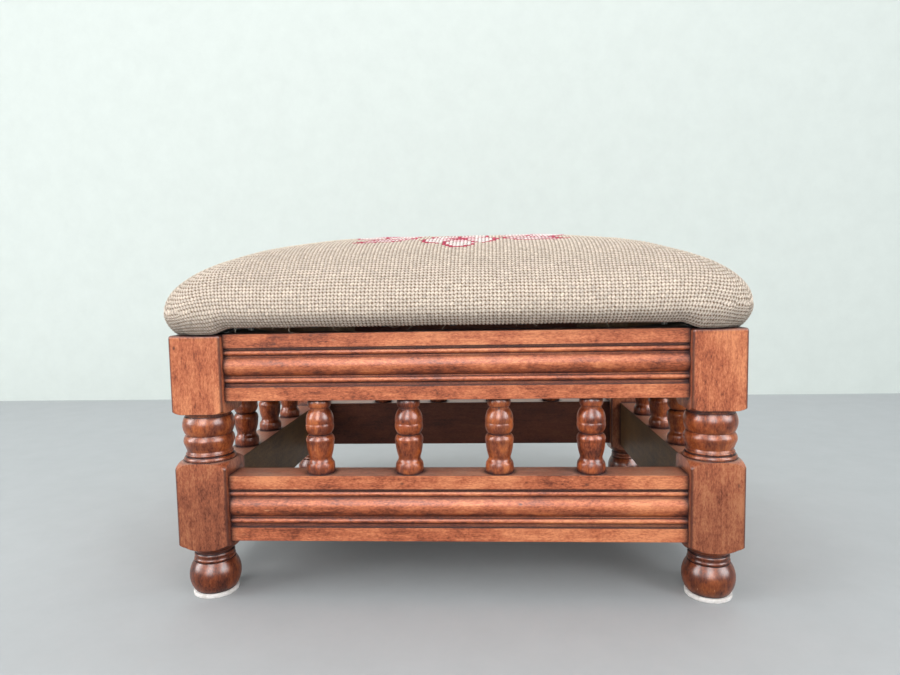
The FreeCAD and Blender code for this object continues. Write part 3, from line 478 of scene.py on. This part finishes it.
class SeatForm:
    """Where each point of the canvas lies once the canvas is pulled over the stuffing."""

    def __init__(self):
        low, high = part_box("needlepoint_cover")
        self.half_x = high.x
        self.half_y = high.y
        self.rest_z = low.z
        self.low_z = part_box("seat_board")[0].z - 2.0 * MM
        self.wide_z = self.low_z + SIDE_HEIGHT
        self.crown_z = high.z
        self.pitch = bpy.context.scene.footstool_seat.stitch_pitch * MM
        self.east = Meridian(self.half_x, self.crown_z, self.wide_z, self.low_z)
        self.north = Meridian(self.half_y, self.crown_z, self.wide_z, self.low_z)
        self.count_x = round(self.east.total / self.pitch)
        self.count_y = round(self.north.total / self.pitch)

    def section(self, level):
        """Half sizes, corner radius and height of the rounded rectangle at one level."""
        if level <= 1.0:
            share = crown_share(level)
            height = crown_height(share, self.crown_z, self.wide_z)
            return self.half_x * share, self.half_y * share, PLAN_CORNER * share, height
        if level <= 2.0:
            part = 2.0 - level
            tuck = SIDE_TUCK * (1.0 - part) ** 2
            height = self.low_z + (self.wide_z - self.low_z) * part
            return self.half_x - tuck, self.half_y - tuck, PLAN_CORNER - tuck / 2, height
        inset = SIDE_TUCK + FOLD_WIDTH * (level - 2.0)
        radius = PLAN_CORNER - SIDE_TUCK / 2 - 12.0 * MM * (level - 2.0)
        return self.half_x - inset, self.half_y - inset, radius, self.low_z

    def place(self, column, row):
        """The point of the seat under one crossing of the canvas, before any relief."""
        share_x = column / self.count_x
        share_y = row / self.count_y
        ring = max(abs(share_x), abs(share_y))
        if ring == 0.0:
            return Vector((0.0, 0.0, self.crown_z))
        facing_y = abs(share_y) >= abs(share_x)
        slip = (share_x if facing_y else share_y) / ring
        lean = 0.5 * abs(slip) ** 8
        weight = lean if facing_y else 1.0 - lean
        away = (1.0 - abs(slip)) * (self.half_x if facing_y else self.half_y)
        near = math.exp(-(away / (26.0 * MM)) ** 2)
        level_x = self.east.level_at(self.pulled(self.east, ring, near))
        level_y = self.north.level_at(self.pulled(self.north, ring, near))
        half_x, half_y, radius, height = self.section(level_y + (level_x - level_y) * weight)
        half = half_x if facing_y else half_y
        reach = half - radius + radius * math.pi / 4
        cloth = ring * (self.count_x if facing_y else self.count_y) * self.pitch
        crowd = max(1.0, cloth / reach)
        power = 3.0 if crowd < 1.3334 else 0.75 * crowd / (crowd - 1.0)
        run = reach * crowd * abs(slip) / (1.0 + (crowd - 1.0) * abs(slip) ** power)
        straight = half - radius
        if run <= straight:
            side, out = run, 0.0
        else:
            angle = (run - straight) / radius
            side, out = straight + radius * math.sin(angle), radius * (1.0 - math.cos(angle))
        side = math.copysign(side, slip)
        if facing_y:
            return Vector((side, math.copysign(half_y - out, share_y), height))
        return Vector((math.copysign(half_x - out, share_x), side, height))

    def pulled(self, meridian, ring, near):
        """Length down the meridian, with the rows drawn down into the corners."""
        length = ring * meridian.total
        above = meridian.edge - length
        if above <= 0.0:
            return length
        pull = CORNER_PULL * near * math.exp(-(above / (34.0 * MM)) ** 2)
        return meridian.edge - above * (1.0 - pull)

    def settle(self, point):
        """Lets the lower edge down on the posts, pleats the corners and makes the rows uneven."""
        over_x = min(1.0, max(0.0, abs(point.x) - (self.half_x - 51.0 * MM)) / (14.0 * MM))
        over_y = min(1.0, max(0.0, abs(point.y) - (self.half_y - 51.0 * MM)) / (14.0 * MM))
        corner = over_x * over_x * (3.0 - 2.0 * over_x) * over_y * over_y * (3.0 - 2.0 * over_y)
        near_low = 1.0 - min(1.0, max(0.0, point.z - self.low_z) / (16.0 * MM))
        drop = (self.low_z - self.rest_z - 0.25 * MM) * corner * near_low ** 1.4
        moved = point.copy()
        moved.z -= drop
        centre_x = math.copysign(self.half_x - PLAN_CORNER, point.x)
        centre_y = math.copysign(self.half_y - PLAN_CORNER, point.y)
        away_x = (point.x - centre_x) * math.copysign(1.0, point.x)
        away_y = (point.y - centre_y) * math.copysign(1.0, point.y)
        reach = math.hypot(away_x, away_y)
        if reach > 4.0 * MM and away_x > -12.0 * MM and away_y > -12.0 * MM:
            angle = math.atan2(away_y, away_x)
            fade = 1.0 - min(1.0, max(0.0, point.z - self.low_z - 2.0 * MM) / (24.0 * MM))
            pleat = 0.0
            for centre, width, depth in PLEATS:
                pleat += depth * math.exp(-((angle - centre) / width) ** 2)
            push = pleat * MM * fade ** 1.3 * min(1.0, reach / (20.0 * MM))
            outward = Vector((math.copysign(away_x, point.x), math.copysign(away_y, point.y), 0.0)) / reach
            moved += outward * push
        wander = noise.noise(point * 28.0) * 0.55
        wander += noise.noise(point * 75.0 + Vector((3.1, 1.7, 0.4))) * 0.35
        hold = min(1.0, max(0.0, point.z - self.low_z) / (8.0 * MM))
        moved.z += wander * MM * hold
        if point.z < self.low_z + 1.5 * MM and corner < 0.05:
            moved.z += 0.35 * MM * noise.noise(point * 60.0)
        moved.z = min(moved.z, self.crown_z)
        return moved


def canvas_grid(form, step):
    """A flat grid with one cell to each step of stitches, and the canvas place of every vertex."""
    bm = bmesh.new()
    bmesh.ops.create_grid(bm, x_segments=2 * form.count_x // step, y_segments=2 * form.count_y // step,
                          size=1.0)
    spots = {}
    for vert in bm.verts:
        spots[vert] = (round(vert.co.x * form.count_x), round(vert.co.y * form.count_y))
    return bm, spots


def puffed(form):
    """How far a short cloth simulation swells the stretched cover, on every second crossing."""
    scene = bpy.context.scene
    bm, spots = canvas_grid(form, 2)
    order = []
    for vert in bm.verts:
        order.append(spots[vert])
        vert.co = form.settle(form.place(*spots[vert]))
    bmesh.ops.recalc_face_normals(bm, faces=bm.faces)
    mesh = bpy.data.meshes.new("cover_trial")
    bm.to_mesh(mesh)
    bm.free()
    trial = bpy.data.objects.new("cover_trial", mesh)
    scene.collection.objects.link(trial)
    held = trial.vertex_groups.new(name="held")
    start = [vert.co.copy() for vert in mesh.vertices]
    for vert in mesh.vertices:
        grip = 1.0 if vert.co.z < form.low_z + 4.0 * MM else 0.0
        held.add([vert.index], grip, "REPLACE")
    cloth = trial.modifiers.new("puff", "CLOTH")
    cloth.settings.vertex_group_mass = "held"
    cloth.settings.quality = 5
    cloth.settings.mass = 0.3
    cloth.settings.tension_stiffness = 40.0
    cloth.settings.compression_stiffness = 40.0
    cloth.settings.bending_stiffness = 4.0
    cloth.settings.use_pressure = True
    cloth.settings.uniform_pressure_force = 3.0
    cloth.settings.effector_weights.gravity = 0.0
    cloth.collision_settings.use_collision = False
    cloth.point_cache.frame_start = 1
    cloth.point_cache.frame_end = PUFF_FRAMES
    for number in range(1, PUFF_FRAMES + 1):
        scene.frame_set(number)
    shaped = trial.evaluated_get(bpy.context.evaluated_depsgraph_get()).to_mesh()
    most = scene.footstool_seat.puff_limit * MM
    moves = {}
    for spot, before, after in zip(order, start, shaped.vertices):
        move = after.co - before
        if move.length > most:
            move = move.normalized() * most
        moves[spot] = move
    scene.frame_set(1)
    bpy.data.objects.remove(trial, do_unlink=True)
    bpy.data.meshes.remove(mesh)
    return moves


def puff_at(moves, column, row):
    """The simulated move at one crossing, averaged from the crossings beside it."""
    total = Vector()
    count = 0
    for near_column in {column - column % 2, column + column % 2}:
        for near_row in {row - row % 2, row + row % 2}:
            move = moves.get((near_column, near_row))
            if move is not None:
                total += move
                count += 1
    return total / count if count else total


# The stitched design


def blossom(x, y, centre_x, centre_y, radius, petals, turn):
    """Which part of an open flower a stitch falls in: outline, blush, petal, heart or none."""
    away = math.hypot(x - centre_x, y - centre_y)
    if away > radius * 1.08:
        return None
    angle = math.atan2(y - centre_y, x - centre_x) + turn
    lobe = abs(math.cos(angle * petals / 2.0))
    edge = radius * (0.66 + 0.34 * lobe ** 0.6)
    if away > edge:
        return None
    if away > edge - 3.1:
        return "outline"
    if away < radius * 0.13:
        return "heart"
    if away < radius * 0.24:
        return "outline" if away > radius * 0.24 - 2.6 else "blush"
    if lobe < 0.20 and away > radius * 0.24:
        return "outline"
    if away < radius * 0.46 and lobe > 0.55:
        return "blush"
    return "petal"


def leaf(x, y, base_x, base_y, tip_x, tip_y, width):
    """Which part of a pointed leaf a stitch falls in."""
    length = math.hypot(tip_x - base_x, tip_y - base_y)
    way_x, way_y = (tip_x - base_x) / length, (tip_y - base_y) / length
    run = (x - base_x) * way_x + (y - base_y) * way_y
    side = abs((y - base_y) * way_x - (x - base_x) * way_y)
    if run < 0.0 or run > length:
        return None
    half = width * math.sin(math.pi * (run / length) ** 0.8)
    if side > half:
        return None
    if side > half - 2.9 or side < 1.2:
        return "outline"
    return "petal"


BLOSSOMS = (
    (6.0, 4.0, 46.0, 6, 0.3), (-52.0, -52.0, 33.0, 5, 0.9), (66.0, -50.0, 36.0, 5, 0.2),
    (-62.0, 48.0, 31.0, 5, 1.7), (62.0, 56.0, 30.0, 5, 2.4), (4.0, -88.0, 29.0, 5, 1.57),
    (2.0, 88.0, 26.0, 5, 0.5),
)
LEAVES = (
    (-26.0, -78.0, -74.0, -98.0, 9.0), (32.0, -84.0, 84.0, -96.0, 9.5), (-84.0, -30.0, -112.0, 6.0, 9.0),
    (96.0, -26.0, 118.0, 12.0, 9.0), (-34.0, 78.0, -78.0, 92.0, 8.5), (32.0, 80.0, 84.0, 94.0, 8.5),
    (-40.0, -8.0, -92.0, 14.0, 9.0), (52.0, 6.0, 100.0, 24.0, 9.0),
)


def design_part(x, y):
    """The part of the floral design at one place of the canvas, in millimetres from its middle."""
    for flower in BLOSSOMS:
        part = blossom(x, y, *flower)
        if part:
            return part
    for shape in LEAVES:
        part = leaf(x, y, *shape)
        if part:
            return part
    return None


def wool_colour(column, row, dice, under):
    """The wool of one stitch, a little unlike its neighbours, or black under the edge: binding, and painted
    shade for the gap under the seat.
    """
    props = bpy.context.scene.footstool_seat
    if under:
        return BINDING_AND_GAP_SHADE
    part = design_part((column + 0.5) * props.stitch_pitch, (row + 0.5) * props.stitch_pitch)
    colours = {
        None: props.ground_wool, "petal": props.petal_wool, "blush": props.blush_wool,
        "heart": props.outline_wool, "outline": props.outline_wool,
    }
    base = colours[part]
    drift = 1.0 + 0.05 * noise.noise(Vector((column * 0.05, row * 0.21, 4.0)))
    shade = dice.gauss(1.0, 0.06) * drift
    return [min(1.0, channel * shade) for channel in base] + [1.0]


def make_cover():
    """Lays the needlepoint over the stuffing, stitch by stitch, and turns it under the board."""
    form = SeatForm()
    moves = puffed(form)
    bm, spots = canvas_grid(form, 1)
    for vert in bm.verts:
        column, row = spots[vert]
        vert.co = form.settle(form.place(column, row))
        if moves:
            vert.co += puff_at(moves, column, row)
    bmesh.ops.recalc_face_normals(bm, faces=bm.faces)
    if sum(face.normal.z for face in bm.faces) < 0.0:
        bmesh.ops.reverse_faces(bm, faces=bm.faces)

    canvas = bm.loops.layers.uv.new("canvas")
    wool = bm.loops.layers.float_color.new("wool")
    dice = random.Random(41)
    cells = list(bm.faces)
    poked = bmesh.ops.poke(bm, faces=cells, offset=0.0, center_mode="MEAN")
    middles = set(poked["verts"])
    bm.normal_update()
    relief = bpy.context.scene.footstool_seat.stitch_relief * MM
    shades = {}
    for vert in poked["verts"]:
        around = [spots[edge.other_vert(vert)] for edge in vert.link_edges]
        column = sum(spot[0] for spot in around) / len(around)
        row = sum(spot[1] for spot in around) / len(around)
        ring = max(abs(column / form.count_x), abs(row / form.count_y))
        under = ring > form.east.edge / form.east.total
        shades[vert] = wool_colour(math.floor(column), math.floor(row), dice, under)
        spots[vert] = (column, row)
    shifts = {}
    for vert in bm.verts:
        lift = 0.35 if vert in middles else -0.45
        shifts[vert] = vert.normal * (lift * relief)
    for vert, shift in shifts.items():
        vert.co += shift
        vert.co.z = min(vert.co.z, form.crown_z + 0.3 * MM)
    for face in bm.faces:
        middle = next(vert for vert in face.verts if vert in middles)
        for loop in face.loops:
            loop[canvas].uv = spots[loop.vert]
            loop[wool] = shades[middle]

    rim = [edge for edge in bm.edges if edge.is_boundary]
    close_under_board(bm, rim)
    add_lint(bm, form, canvas, wool)
    return new_piece("needlepoint_seat", bm, wool_stitches())


def add_lint(bm, form, canvas, wool):
    """Fine wool hairs that have worked loose along the lower edge."""
    dice = random.Random(7)
    for _ in range(LINT_HAIRS):
        facing_y = dice.random() < 0.62
        reach = (form.half_x if facing_y else form.half_y) - 46.0 * MM
        out = (form.half_y if facing_y else form.half_x) - SIDE_TUCK
        side = dice.choice((-1.0, 1.0))
        start = Vector((dice.uniform(-reach, reach), (out - 0.6 * MM) * side, form.low_z + 1.2 * MM))
        swing = Vector((dice.uniform(-7.0, 7.0), dice.uniform(0.5, 3.5) * side,
                        -dice.uniform(1.5, 5.5))) * MM
        curl = Vector((dice.uniform(-3.0, 3.0), dice.uniform(0.0, 2.0) * side,
                       dice.uniform(-1.5, 2.0))) * MM
        if not facing_y:
            start, swing, curl = (Vector((item.y, item.x, item.z)) for item in (start, swing, curl))
        tone = dice.uniform(0.35, 0.75)
        rings = []
        for step in range(HAIR_STEPS + 1):
            part = step / HAIR_STEPS
            centre = start + swing * part + curl * math.sin(math.pi * part)
            ring = []
            for turn in range(3):
                angle = math.tau * turn / 3.0
                offset = Vector((math.cos(angle), math.sin(angle), 0.4 * math.sin(angle)))
                ring.append(bm.verts.new(centre + offset * HAIR_RADIUS))
            rings.append(ring)
        faces = [bm.faces.new(reversed(rings[0])), bm.faces.new(rings[-1])]
        for low, high in zip(rings, rings[1:]):
            for turn in range(3):
                after = (turn + 1) % 3
                faces.append(bm.faces.new((low[turn], low[after], high[after], high[turn])))
        for face in faces:
            for loop in face.loops:
                loop[canvas].uv = (0.5, 0.5)
                loop[wool] = (tone, tone * 0.86, tone * 0.70, 1.0)


def grow_edge(bm, edges):
    """Extrudes an open edge and gives the new edges and vertices."""
    grown = bmesh.ops.extrude_edge_only(bm, edges=edges)["geom"]
    verts = [item for item in grown if isinstance(item, bmesh.types.BMVert)]
    return [item for item in grown if isinstance(item, bmesh.types.BMEdge)], verts


def close_under_board(bm, rim):
    """Carries the edge of the fold up inside the board's outline and closes it over the board."""
    board_low, board_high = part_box("seat_board")
    edges, verts = grow_edge(bm, rim)
    for vert in verts:
        vert.co.z = board_low.z - 0.1 * MM
    edges, verts = grow_edge(bm, edges)
    grow_x = (board_high.x + BOARD_GAP) / max(vert.co.x for vert in verts)
    grow_y = (board_high.y + BOARD_GAP) / max(vert.co.y for vert in verts)
    bmesh.ops.scale(bm, vec=(grow_x, grow_y, 1.0), verts=verts)
    edges, verts = grow_edge(bm, edges)
    for vert in verts:
        vert.co.z = board_high.z + BOARD_GAP
    made = bmesh.ops.edgeloop_fill(bm, edges=edges)
    bmesh.ops.triangulate(bm, faces=made["faces"])
    bmesh.ops.recalc_face_normals(bm, faces=bm.faces)


# Operators


class FOOTSTOOL_OT_camera(bpy.types.Operator):
    """Sets the camera in front of the stool, low and a little to the right"""

    bl_idname = "footstool.camera"
    bl_label = "Set Camera"

    def execute(self, context):
        data = bpy.data.cameras.new("photo_view")
        data.sensor_width = 36.0
        data.lens = CAMERA_LENS
        data.clip_start = 0.01
        camera = bpy.data.objects.new("photo_view", data)
        context.scene.collection.objects.link(camera)
        right = Vector((math.cos(CAMERA_YAW), math.sin(CAMERA_YAW), 0.0))
        ahead = Vector((-math.sin(CAMERA_YAW) * math.cos(CAMERA_PITCH),
                        math.cos(CAMERA_YAW) * math.cos(CAMERA_PITCH), -math.sin(CAMERA_PITCH)))
        up = right.cross(ahead)
        tilted_right = right * math.cos(CAMERA_ROLL) - up * math.sin(CAMERA_ROLL)
        tilted_up = right * math.sin(CAMERA_ROLL) + up * math.cos(CAMERA_ROLL)
        turned = Matrix((tilted_right, tilted_up, -ahead)).transposed().to_4x4()
        camera.matrix_world = Matrix.Translation(CAMERA_PLACE) @ turned
        context.scene.camera = camera
        return {"FINISHED"}


class FOOTSTOOL_OT_frame(bpy.types.Operator):
    """Polishes the posts, rails and spindles"""

    bl_idname = "footstool.frame"
    bl_label = "Polish Frame"

    def execute(self, context):
        low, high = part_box("rear_right_post")
        arris = ((high.x, high.y), high.x - low.x, high.z)
        upright = polished_wood("polished_posts", 2, painted_foot_shade=0.42, arris=arris, turned=POST_TURNINGS)
        turned = polished_wood("polished_spindles", 2, turned=ALL_TURNED)
        for corner in CORNERS:
            dress(corner + "_post", upright)
        plane = 0.2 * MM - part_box("front_upper_rail")[1].y
        # Long rails' inner faces: dull wood, very dark with painted shade
        inner = (1, plane, (0.030, 0.006, 0.003), (0.085, 0.020, 0.009))
        long_rail = polished_wood("polished_long_rails", 0, inner)
        plane = 0.2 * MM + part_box("right_upper_rail")[0].x
        # Side rails' inner faces: dull wood, darkened with painted shade
        inner = (0, plane, (0.066, 0.035, 0.012), (0.165, 0.098, 0.036))
        side_rail = polished_wood("polished_side_rails", 1, inner)
        for side in SIDES:
            for level in ("lower", "upper"):
                rail = long_rail if side in ("front", "rear") else side_rail
                dress("%s_%s_rail" % (side, level), rail)
        for side, count in (("front", 4), ("rear", 4), ("left", 3), ("right", 3)):
            for number in range(1, count + 1):
                dress("%s_spindle_%d" % (side, number), turned)
        return {"FINISHED"}


class FOOTSTOOL_OT_carcass(bpy.types.Operator):
    """Finishes the seat board, corner blocks, dowels, screws and tacks"""

    bl_idname = "footstool.carcass"
    bl_label = "Finish Hidden Parts"

    def execute(self, context):
        pine = raw_wood("bare_pine", 0, (0.11, 0.068, 0.036), (0.26, 0.17, 0.095))
        dress("seat_board", pine)
        for corner in CORNERS:
            dress(corner + "_corner_block", pine)
        beech = raw_wood("bare_beech", 2, (0.42, 0.27, 0.16), (0.62, 0.45, 0.30))
        dress("lower_rail_dowels", beech)
        dress("upper_rail_dowels", beech)
        dress("seat_screws", aged_metal("screw_steel", (0.20, 0.18, 0.16), (0.50, 0.48, 0.45), 0.38))
        dress("seat_tacks", aged_metal("blued_steel", (0.030, 0.034, 0.045), (0.10, 0.11, 0.13), 0.36))
        return {"FINISHED"}


class FOOTSTOOL_OT_cover(bpy.types.Operator):
    """Stitches the needlepoint cover over the padding"""

    bl_idname = "footstool.cover"
    bl_label = "Stitch Cover"

    def execute(self, context):
        cover = make_cover()
        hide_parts("needlepoint_cover", "seat_padding")
        return {"FINISHED"}


class FOOTSTOOL_OT_dust_cloth(bpy.types.Operator):
    """Stretches the black cloth under the seat, sagging a little between its tacks"""

    bl_idname = "footstool.dust_cloth"
    bl_label = "Stretch Dust Cloth"

    def execute(self, context):
        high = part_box("dust_cloth")[1]
        board_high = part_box("seat_board")[1]
        cut_x = board_high.x - 37.0 * MM
        cut_y = board_high.y - 37.0 * MM
        bm = bmesh.new()
        bmesh.ops.create_grid(bm, x_segments=75, y_segments=59, size=1.0)
        bmesh.ops.scale(bm, vec=(high.x, high.y, 1.0), verts=bm.verts)
        cuts = ((1, 0, 0), cut_x), ((-1, 0, 0), cut_x), ((0, 1, 0), cut_y), ((0, -1, 0), cut_y)
        for normal, plane in cuts:
            geometry = bm.verts[:] + bm.edges[:] + bm.faces[:]
            point = tuple(plane * axis for axis in normal)
            bmesh.ops.bisect_plane(bm, geom=geometry, dist=1e-6, plane_co=point, plane_no=normal)
        corners = []
        for face in bm.faces:
            middle = face.calc_center_median()
            if abs(middle.x) > cut_x and abs(middle.y) > cut_y:
                corners.append(face)
        bmesh.ops.delete(bm, geom=corners, context="FACES")
        top = high.z - 0.05 * MM
        for vert in bm.verts:
            share = (1.0 - (vert.co.x / high.x) ** 2) * (1.0 - (vert.co.y / high.y) ** 2)
            ripple = 0.35 * noise.noise(Vector((vert.co.x * 45.0, vert.co.y * 45.0, 2.0)))
            vert.co.z = top - (2.2 * share ** 0.6 + max(0.0, ripple)) * MM
        bmesh.ops.recalc_face_normals(bm, faces=bm.faces)
        cloth = new_piece("black_dust_cloth", bm, black_cotton())
        thick = cloth.modifiers.new("cloth thickness", "SOLIDIFY")
        thick.thickness = 0.35 * MM
        thick.offset = -1.0
        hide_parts("dust_cloth")
        return {"FINISHED"}


class FOOTSTOOL_OT_felt(bpy.types.Operator):
    """Sticks a soft felt disc under each foot"""

    bl_idname = "footstool.felt"
    bl_label = "Stick Felt"

    def execute(self, context):
        felt = pressed_felt()
        for number, corner in enumerate(CORNERS):
            node = corner + "_felt_pad"
            low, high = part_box(node)
            middle = (low + high) / 2
            radius = (high.x - low.x) / 2
            bm = bmesh.new()
            bmesh.ops.create_circle(bm, cap_ends=True, segments=64, radius=radius - 0.35 * MM)
            lift = bmesh.ops.extrude_face_region(bm, geom=bm.faces[:])
            raised = [item for item in lift["geom"] if isinstance(item, bmesh.types.BMVert)]
            bmesh.ops.translate(bm, verts=raised, vec=(0.0, 0.0, high.z - low.z))
            bmesh.ops.recalc_face_normals(bm, faces=bm.faces)
            rims = [edge for edge in bm.edges if abs(edge.verts[0].co.z - edge.verts[1].co.z) < 1e-6]
            bmesh.ops.bevel(bm, geom=rims, offset=0.9 * MM, segments=3, profile=0.5, affect="EDGES",
                            material=-1)
            for vert in bm.verts:
                away = vert.co.to_2d().length
                if away > radius * 0.8:
                    push = 0.35 * noise.noise(vert.co * 420.0 + Vector((number * 3.0, 0.0, 0.0))) * MM
                    vert.co.x *= 1.0 + push / away
                    vert.co.y *= 1.0 + push / away
            bmesh.ops.translate(bm, verts=bm.verts, vec=(middle.x, middle.y, low.z))
            disc = new_piece(corner + "_felt_disc", bm, felt)
            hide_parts(node)
        return {"FINISHED"}


class FOOTSTOOL_OT_stage(bpy.types.Operator):
    """Lays a plain pale floor and wall and hangs soft lights"""

    bl_idname = "footstool.stage"
    bl_label = "Set Stage"

    def execute(self, context):
        props = context.scene.footstool_stage
        floor = self.sheet("floor", 8.0, self.plain("stage_floor", tuple(props.floor_colour), 0.62))
        wall = self.sheet("backdrop", 8.0, self.plain("stage_wall", tuple(props.wall_colour), 0.9))
        for vert in wall.data.vertices:
            vert.co = Vector((vert.co.x, props.wall_distance, vert.co.y + 4.0))
        for light in LIGHTS:
            self.softbox(context, *light)
        self.daylight(context, props)
        context.scene.view_settings.view_transform = "Standard"
        return {"FINISHED"}

    def daylight(self, context, props):
        """An even sky that polished surfaces see as a row of bright panes in front."""
        world = bpy.data.worlds.new("daylight")
        context.scene.world = world
        world.use_nodes = True
        tree = world.node_tree
        background = tree.nodes["Background"]
        sky = add(tree, "TexCoord").outputs["Generated"]
        split = add(tree, "SeparateXYZ", {0: sky})
        upper = times(tree, spread(tree, split.outputs[2], -0.06, 0.24),
                     spread(tree, split.outputs[2], 0.86, 0.99, 1.0, 0.0))
        turn = calc(tree, "ARCTAN2", split.outputs[0], times(tree, split.outputs[1], -1.0))
        repeat = calc(tree, "COSINE", times(tree, calc(tree, "ADD", turn, 0.12), 5.0))
        panes = spread(tree, repeat, -0.2, 0.6, 0.25, 1.0)
        panes = times(tree, panes, spread(tree, calc(tree, "COSINE", turn), -0.1, 0.3))
        mirrored = times(tree, times(tree, upper, panes), props.windows)
        mirrored = calc(tree, "ADD", mirrored, 0.10)
        glossy = add(tree, "LightPath").outputs["Is Glossy Ray"]
        strength = add(tree, "Mix", {0: glossy, 2: props.daylight, 3: mirrored}).outputs[0]
        feed(tree, background, {"Color": (0.96, 0.98, 1.0, 1.0), "Strength": strength})

    def sheet(self, name, size, material):
        bm = bmesh.new()
        bmesh.ops.create_grid(bm, x_segments=2, y_segments=2, size=size)
        mesh = bpy.data.meshes.new(name)
        bm.to_mesh(mesh)
        bm.free()
        mesh.materials.append(material)
        item = bpy.data.objects.new(name, mesh)
        bpy.context.scene.collection.objects.link(item)
        return item

    def plain(self, name, colour, roughness):
        material, tree, shader = new_material(name)
        soft = cloud(tree, stretched(tree, (26.0, 26.0, 26.0)), detail=6.0, roughness=0.7)
        dark = tuple(channel * 0.95 for channel in colour)
        mottled = ramp(tree, soft, [(0.30, dark), (0.70, colour)])
        feed(tree, shader, {"Base Color": mottled, "Roughness": roughness, "Specular IOR Level": 0.0})
        return material

    def softbox(self, context, name, place, size, power, colour):
        data = bpy.data.lights.new(name, "AREA")
        data.shape = "SQUARE"
        data.size = size
        data.energy = power
        data.color = colour
        lamp = bpy.data.objects.new(name, data)
        lamp.location = place
        aim = Vector((0.0, 0.0, 0.15)) - Vector(place)
        lamp.rotation_euler = aim.to_track_quat("-Z", "Y").to_euler()
        context.scene.collection.objects.link(lamp)


class FOOTSTOOL_PT_panel(bpy.types.Panel):
    """Lists the footstool's sizes, colours and steps"""

    bl_idname = "FOOTSTOOL_PT_panel"
    bl_label = "Footstool"
    bl_space_type = "VIEW_3D"
    bl_region_type = "UI"
    bl_category = "Footstool"

    def draw(self, context):
        layout = self.layout
        scene = context.scene
        for group in (scene.footstool_wood, scene.footstool_seat, scene.footstool_stage):
            box = layout.box()
            for name in group.__annotations__:
                box.prop(group, name)
        for step in STEPS:
            layout.operator(step.bl_idname)


def colour_property(name, description, default):
    return bpy.props.FloatVectorProperty(
        name=name, description=description, subtype="COLOR", size=3, min=0.0, max=1.0, default=default)


def number_property(name, description, default, least, most):
    return bpy.props.FloatProperty(
        name=name, description=description, default=default, min=least, max=most)


class FootstoolWood(bpy.types.PropertyGroup):
    """Tones and finish of the polished wood"""

    dark_tone: colour_property("Dark Tone", "Darkest streaks of the wood", (0.130, 0.028, 0.012))
    middle_tone: colour_property("Middle Tone", "Main colour of the wood", (0.440, 0.120, 0.052))
    light_tone: colour_property("Light Tone", "Lightest streaks of the wood", (0.690, 0.258, 0.118))
    roughness: number_property("Roughness", "Roughness of the shellac", 0.38, 0.05, 1.0)
    edge_wear: number_property("Edge Wear", "Width of the softened edges, in millimetres", 0.8, 0.1, 3.0)


class FootstoolSeat(bpy.types.PropertyGroup):
    """Sizes and wools of the needlepoint, with lengths in millimetres"""

    stitch_pitch: number_property("Stitch Pitch", "Distance between stitches", 2.54, 1.0, 6.0)
    stitch_relief: number_property("Stitch Relief", "Depth between the stitches", 0.7, 0.0, 2.0)
    puff_limit: number_property("Puff Limit", "How far the simulation may swell the cover", 1.2, 0.0, 6.0)
    ground_wool: colour_property("Ground Wool", "Wool round the flowers", (0.690, 0.590, 0.500))
    petal_wool: colour_property("Petal Wool", "Wool of the petals", (0.880, 0.770, 0.760))
    blush_wool: colour_property("Blush Wool", "Wool near the hearts", (0.880, 0.560, 0.590))
    outline_wool: colour_property("Outline Wool", "Wool of the outlines", (0.520, 0.045, 0.105))


class FootstoolStage(bpy.types.PropertyGroup):
    """Floor, wall and light"""

    floor_colour: colour_property("Floor Colour", "Colour of the plain floor", (0.45, 0.47, 0.48))
    wall_colour: colour_property("Wall Colour", "Colour of the plain wall", (0.69, 0.745, 0.71))
    wall_distance: number_property("Wall Distance", "Metres from stool to wall", 0.66, 0.3, 5.0)
    daylight: number_property("Daylight", "Strength of the light from all round", 0.85, 0.0, 3.0)
    windows: number_property("Windows", "Strength of the panes that the polish mirrors", 15.0, 0.0, 20.0)


STEPS = (FOOTSTOOL_OT_camera, FOOTSTOOL_OT_frame, FOOTSTOOL_OT_carcass, FOOTSTOOL_OT_cover,
         FOOTSTOOL_OT_dust_cloth, FOOTSTOOL_OT_felt, FOOTSTOOL_OT_stage)
CLASSES = (FootstoolWood, FootstoolSeat, FootstoolStage) + STEPS + (FOOTSTOOL_PT_panel,)


def register():
    for item in CLASSES:
        bpy.utils.register_class(item)
    bpy.types.Scene.footstool_wood = bpy.props.PointerProperty(type=FootstoolWood)
    bpy.types.Scene.footstool_seat = bpy.props.PointerProperty(type=FootstoolSeat)
    bpy.types.Scene.footstool_stage = bpy.props.PointerProperty(type=FootstoolStage)


def unregister():
    del bpy.types.Scene.footstool_stage
    del bpy.types.Scene.footstool_seat
    del bpy.types.Scene.footstool_wood
    for item in reversed(CLASSES):
        bpy.utils.unregister_class(item)


def main():
    register()
    bpy.ops.footstool.camera()
    bpy.ops.footstool.frame()
    bpy.ops.footstool.carcass()
    bpy.ops.footstool.cover()
    bpy.ops.footstool.dust_cloth()
    bpy.ops.footstool.felt()
    bpy.ops.footstool.stage()


if __name__ == "__main__":
    main()
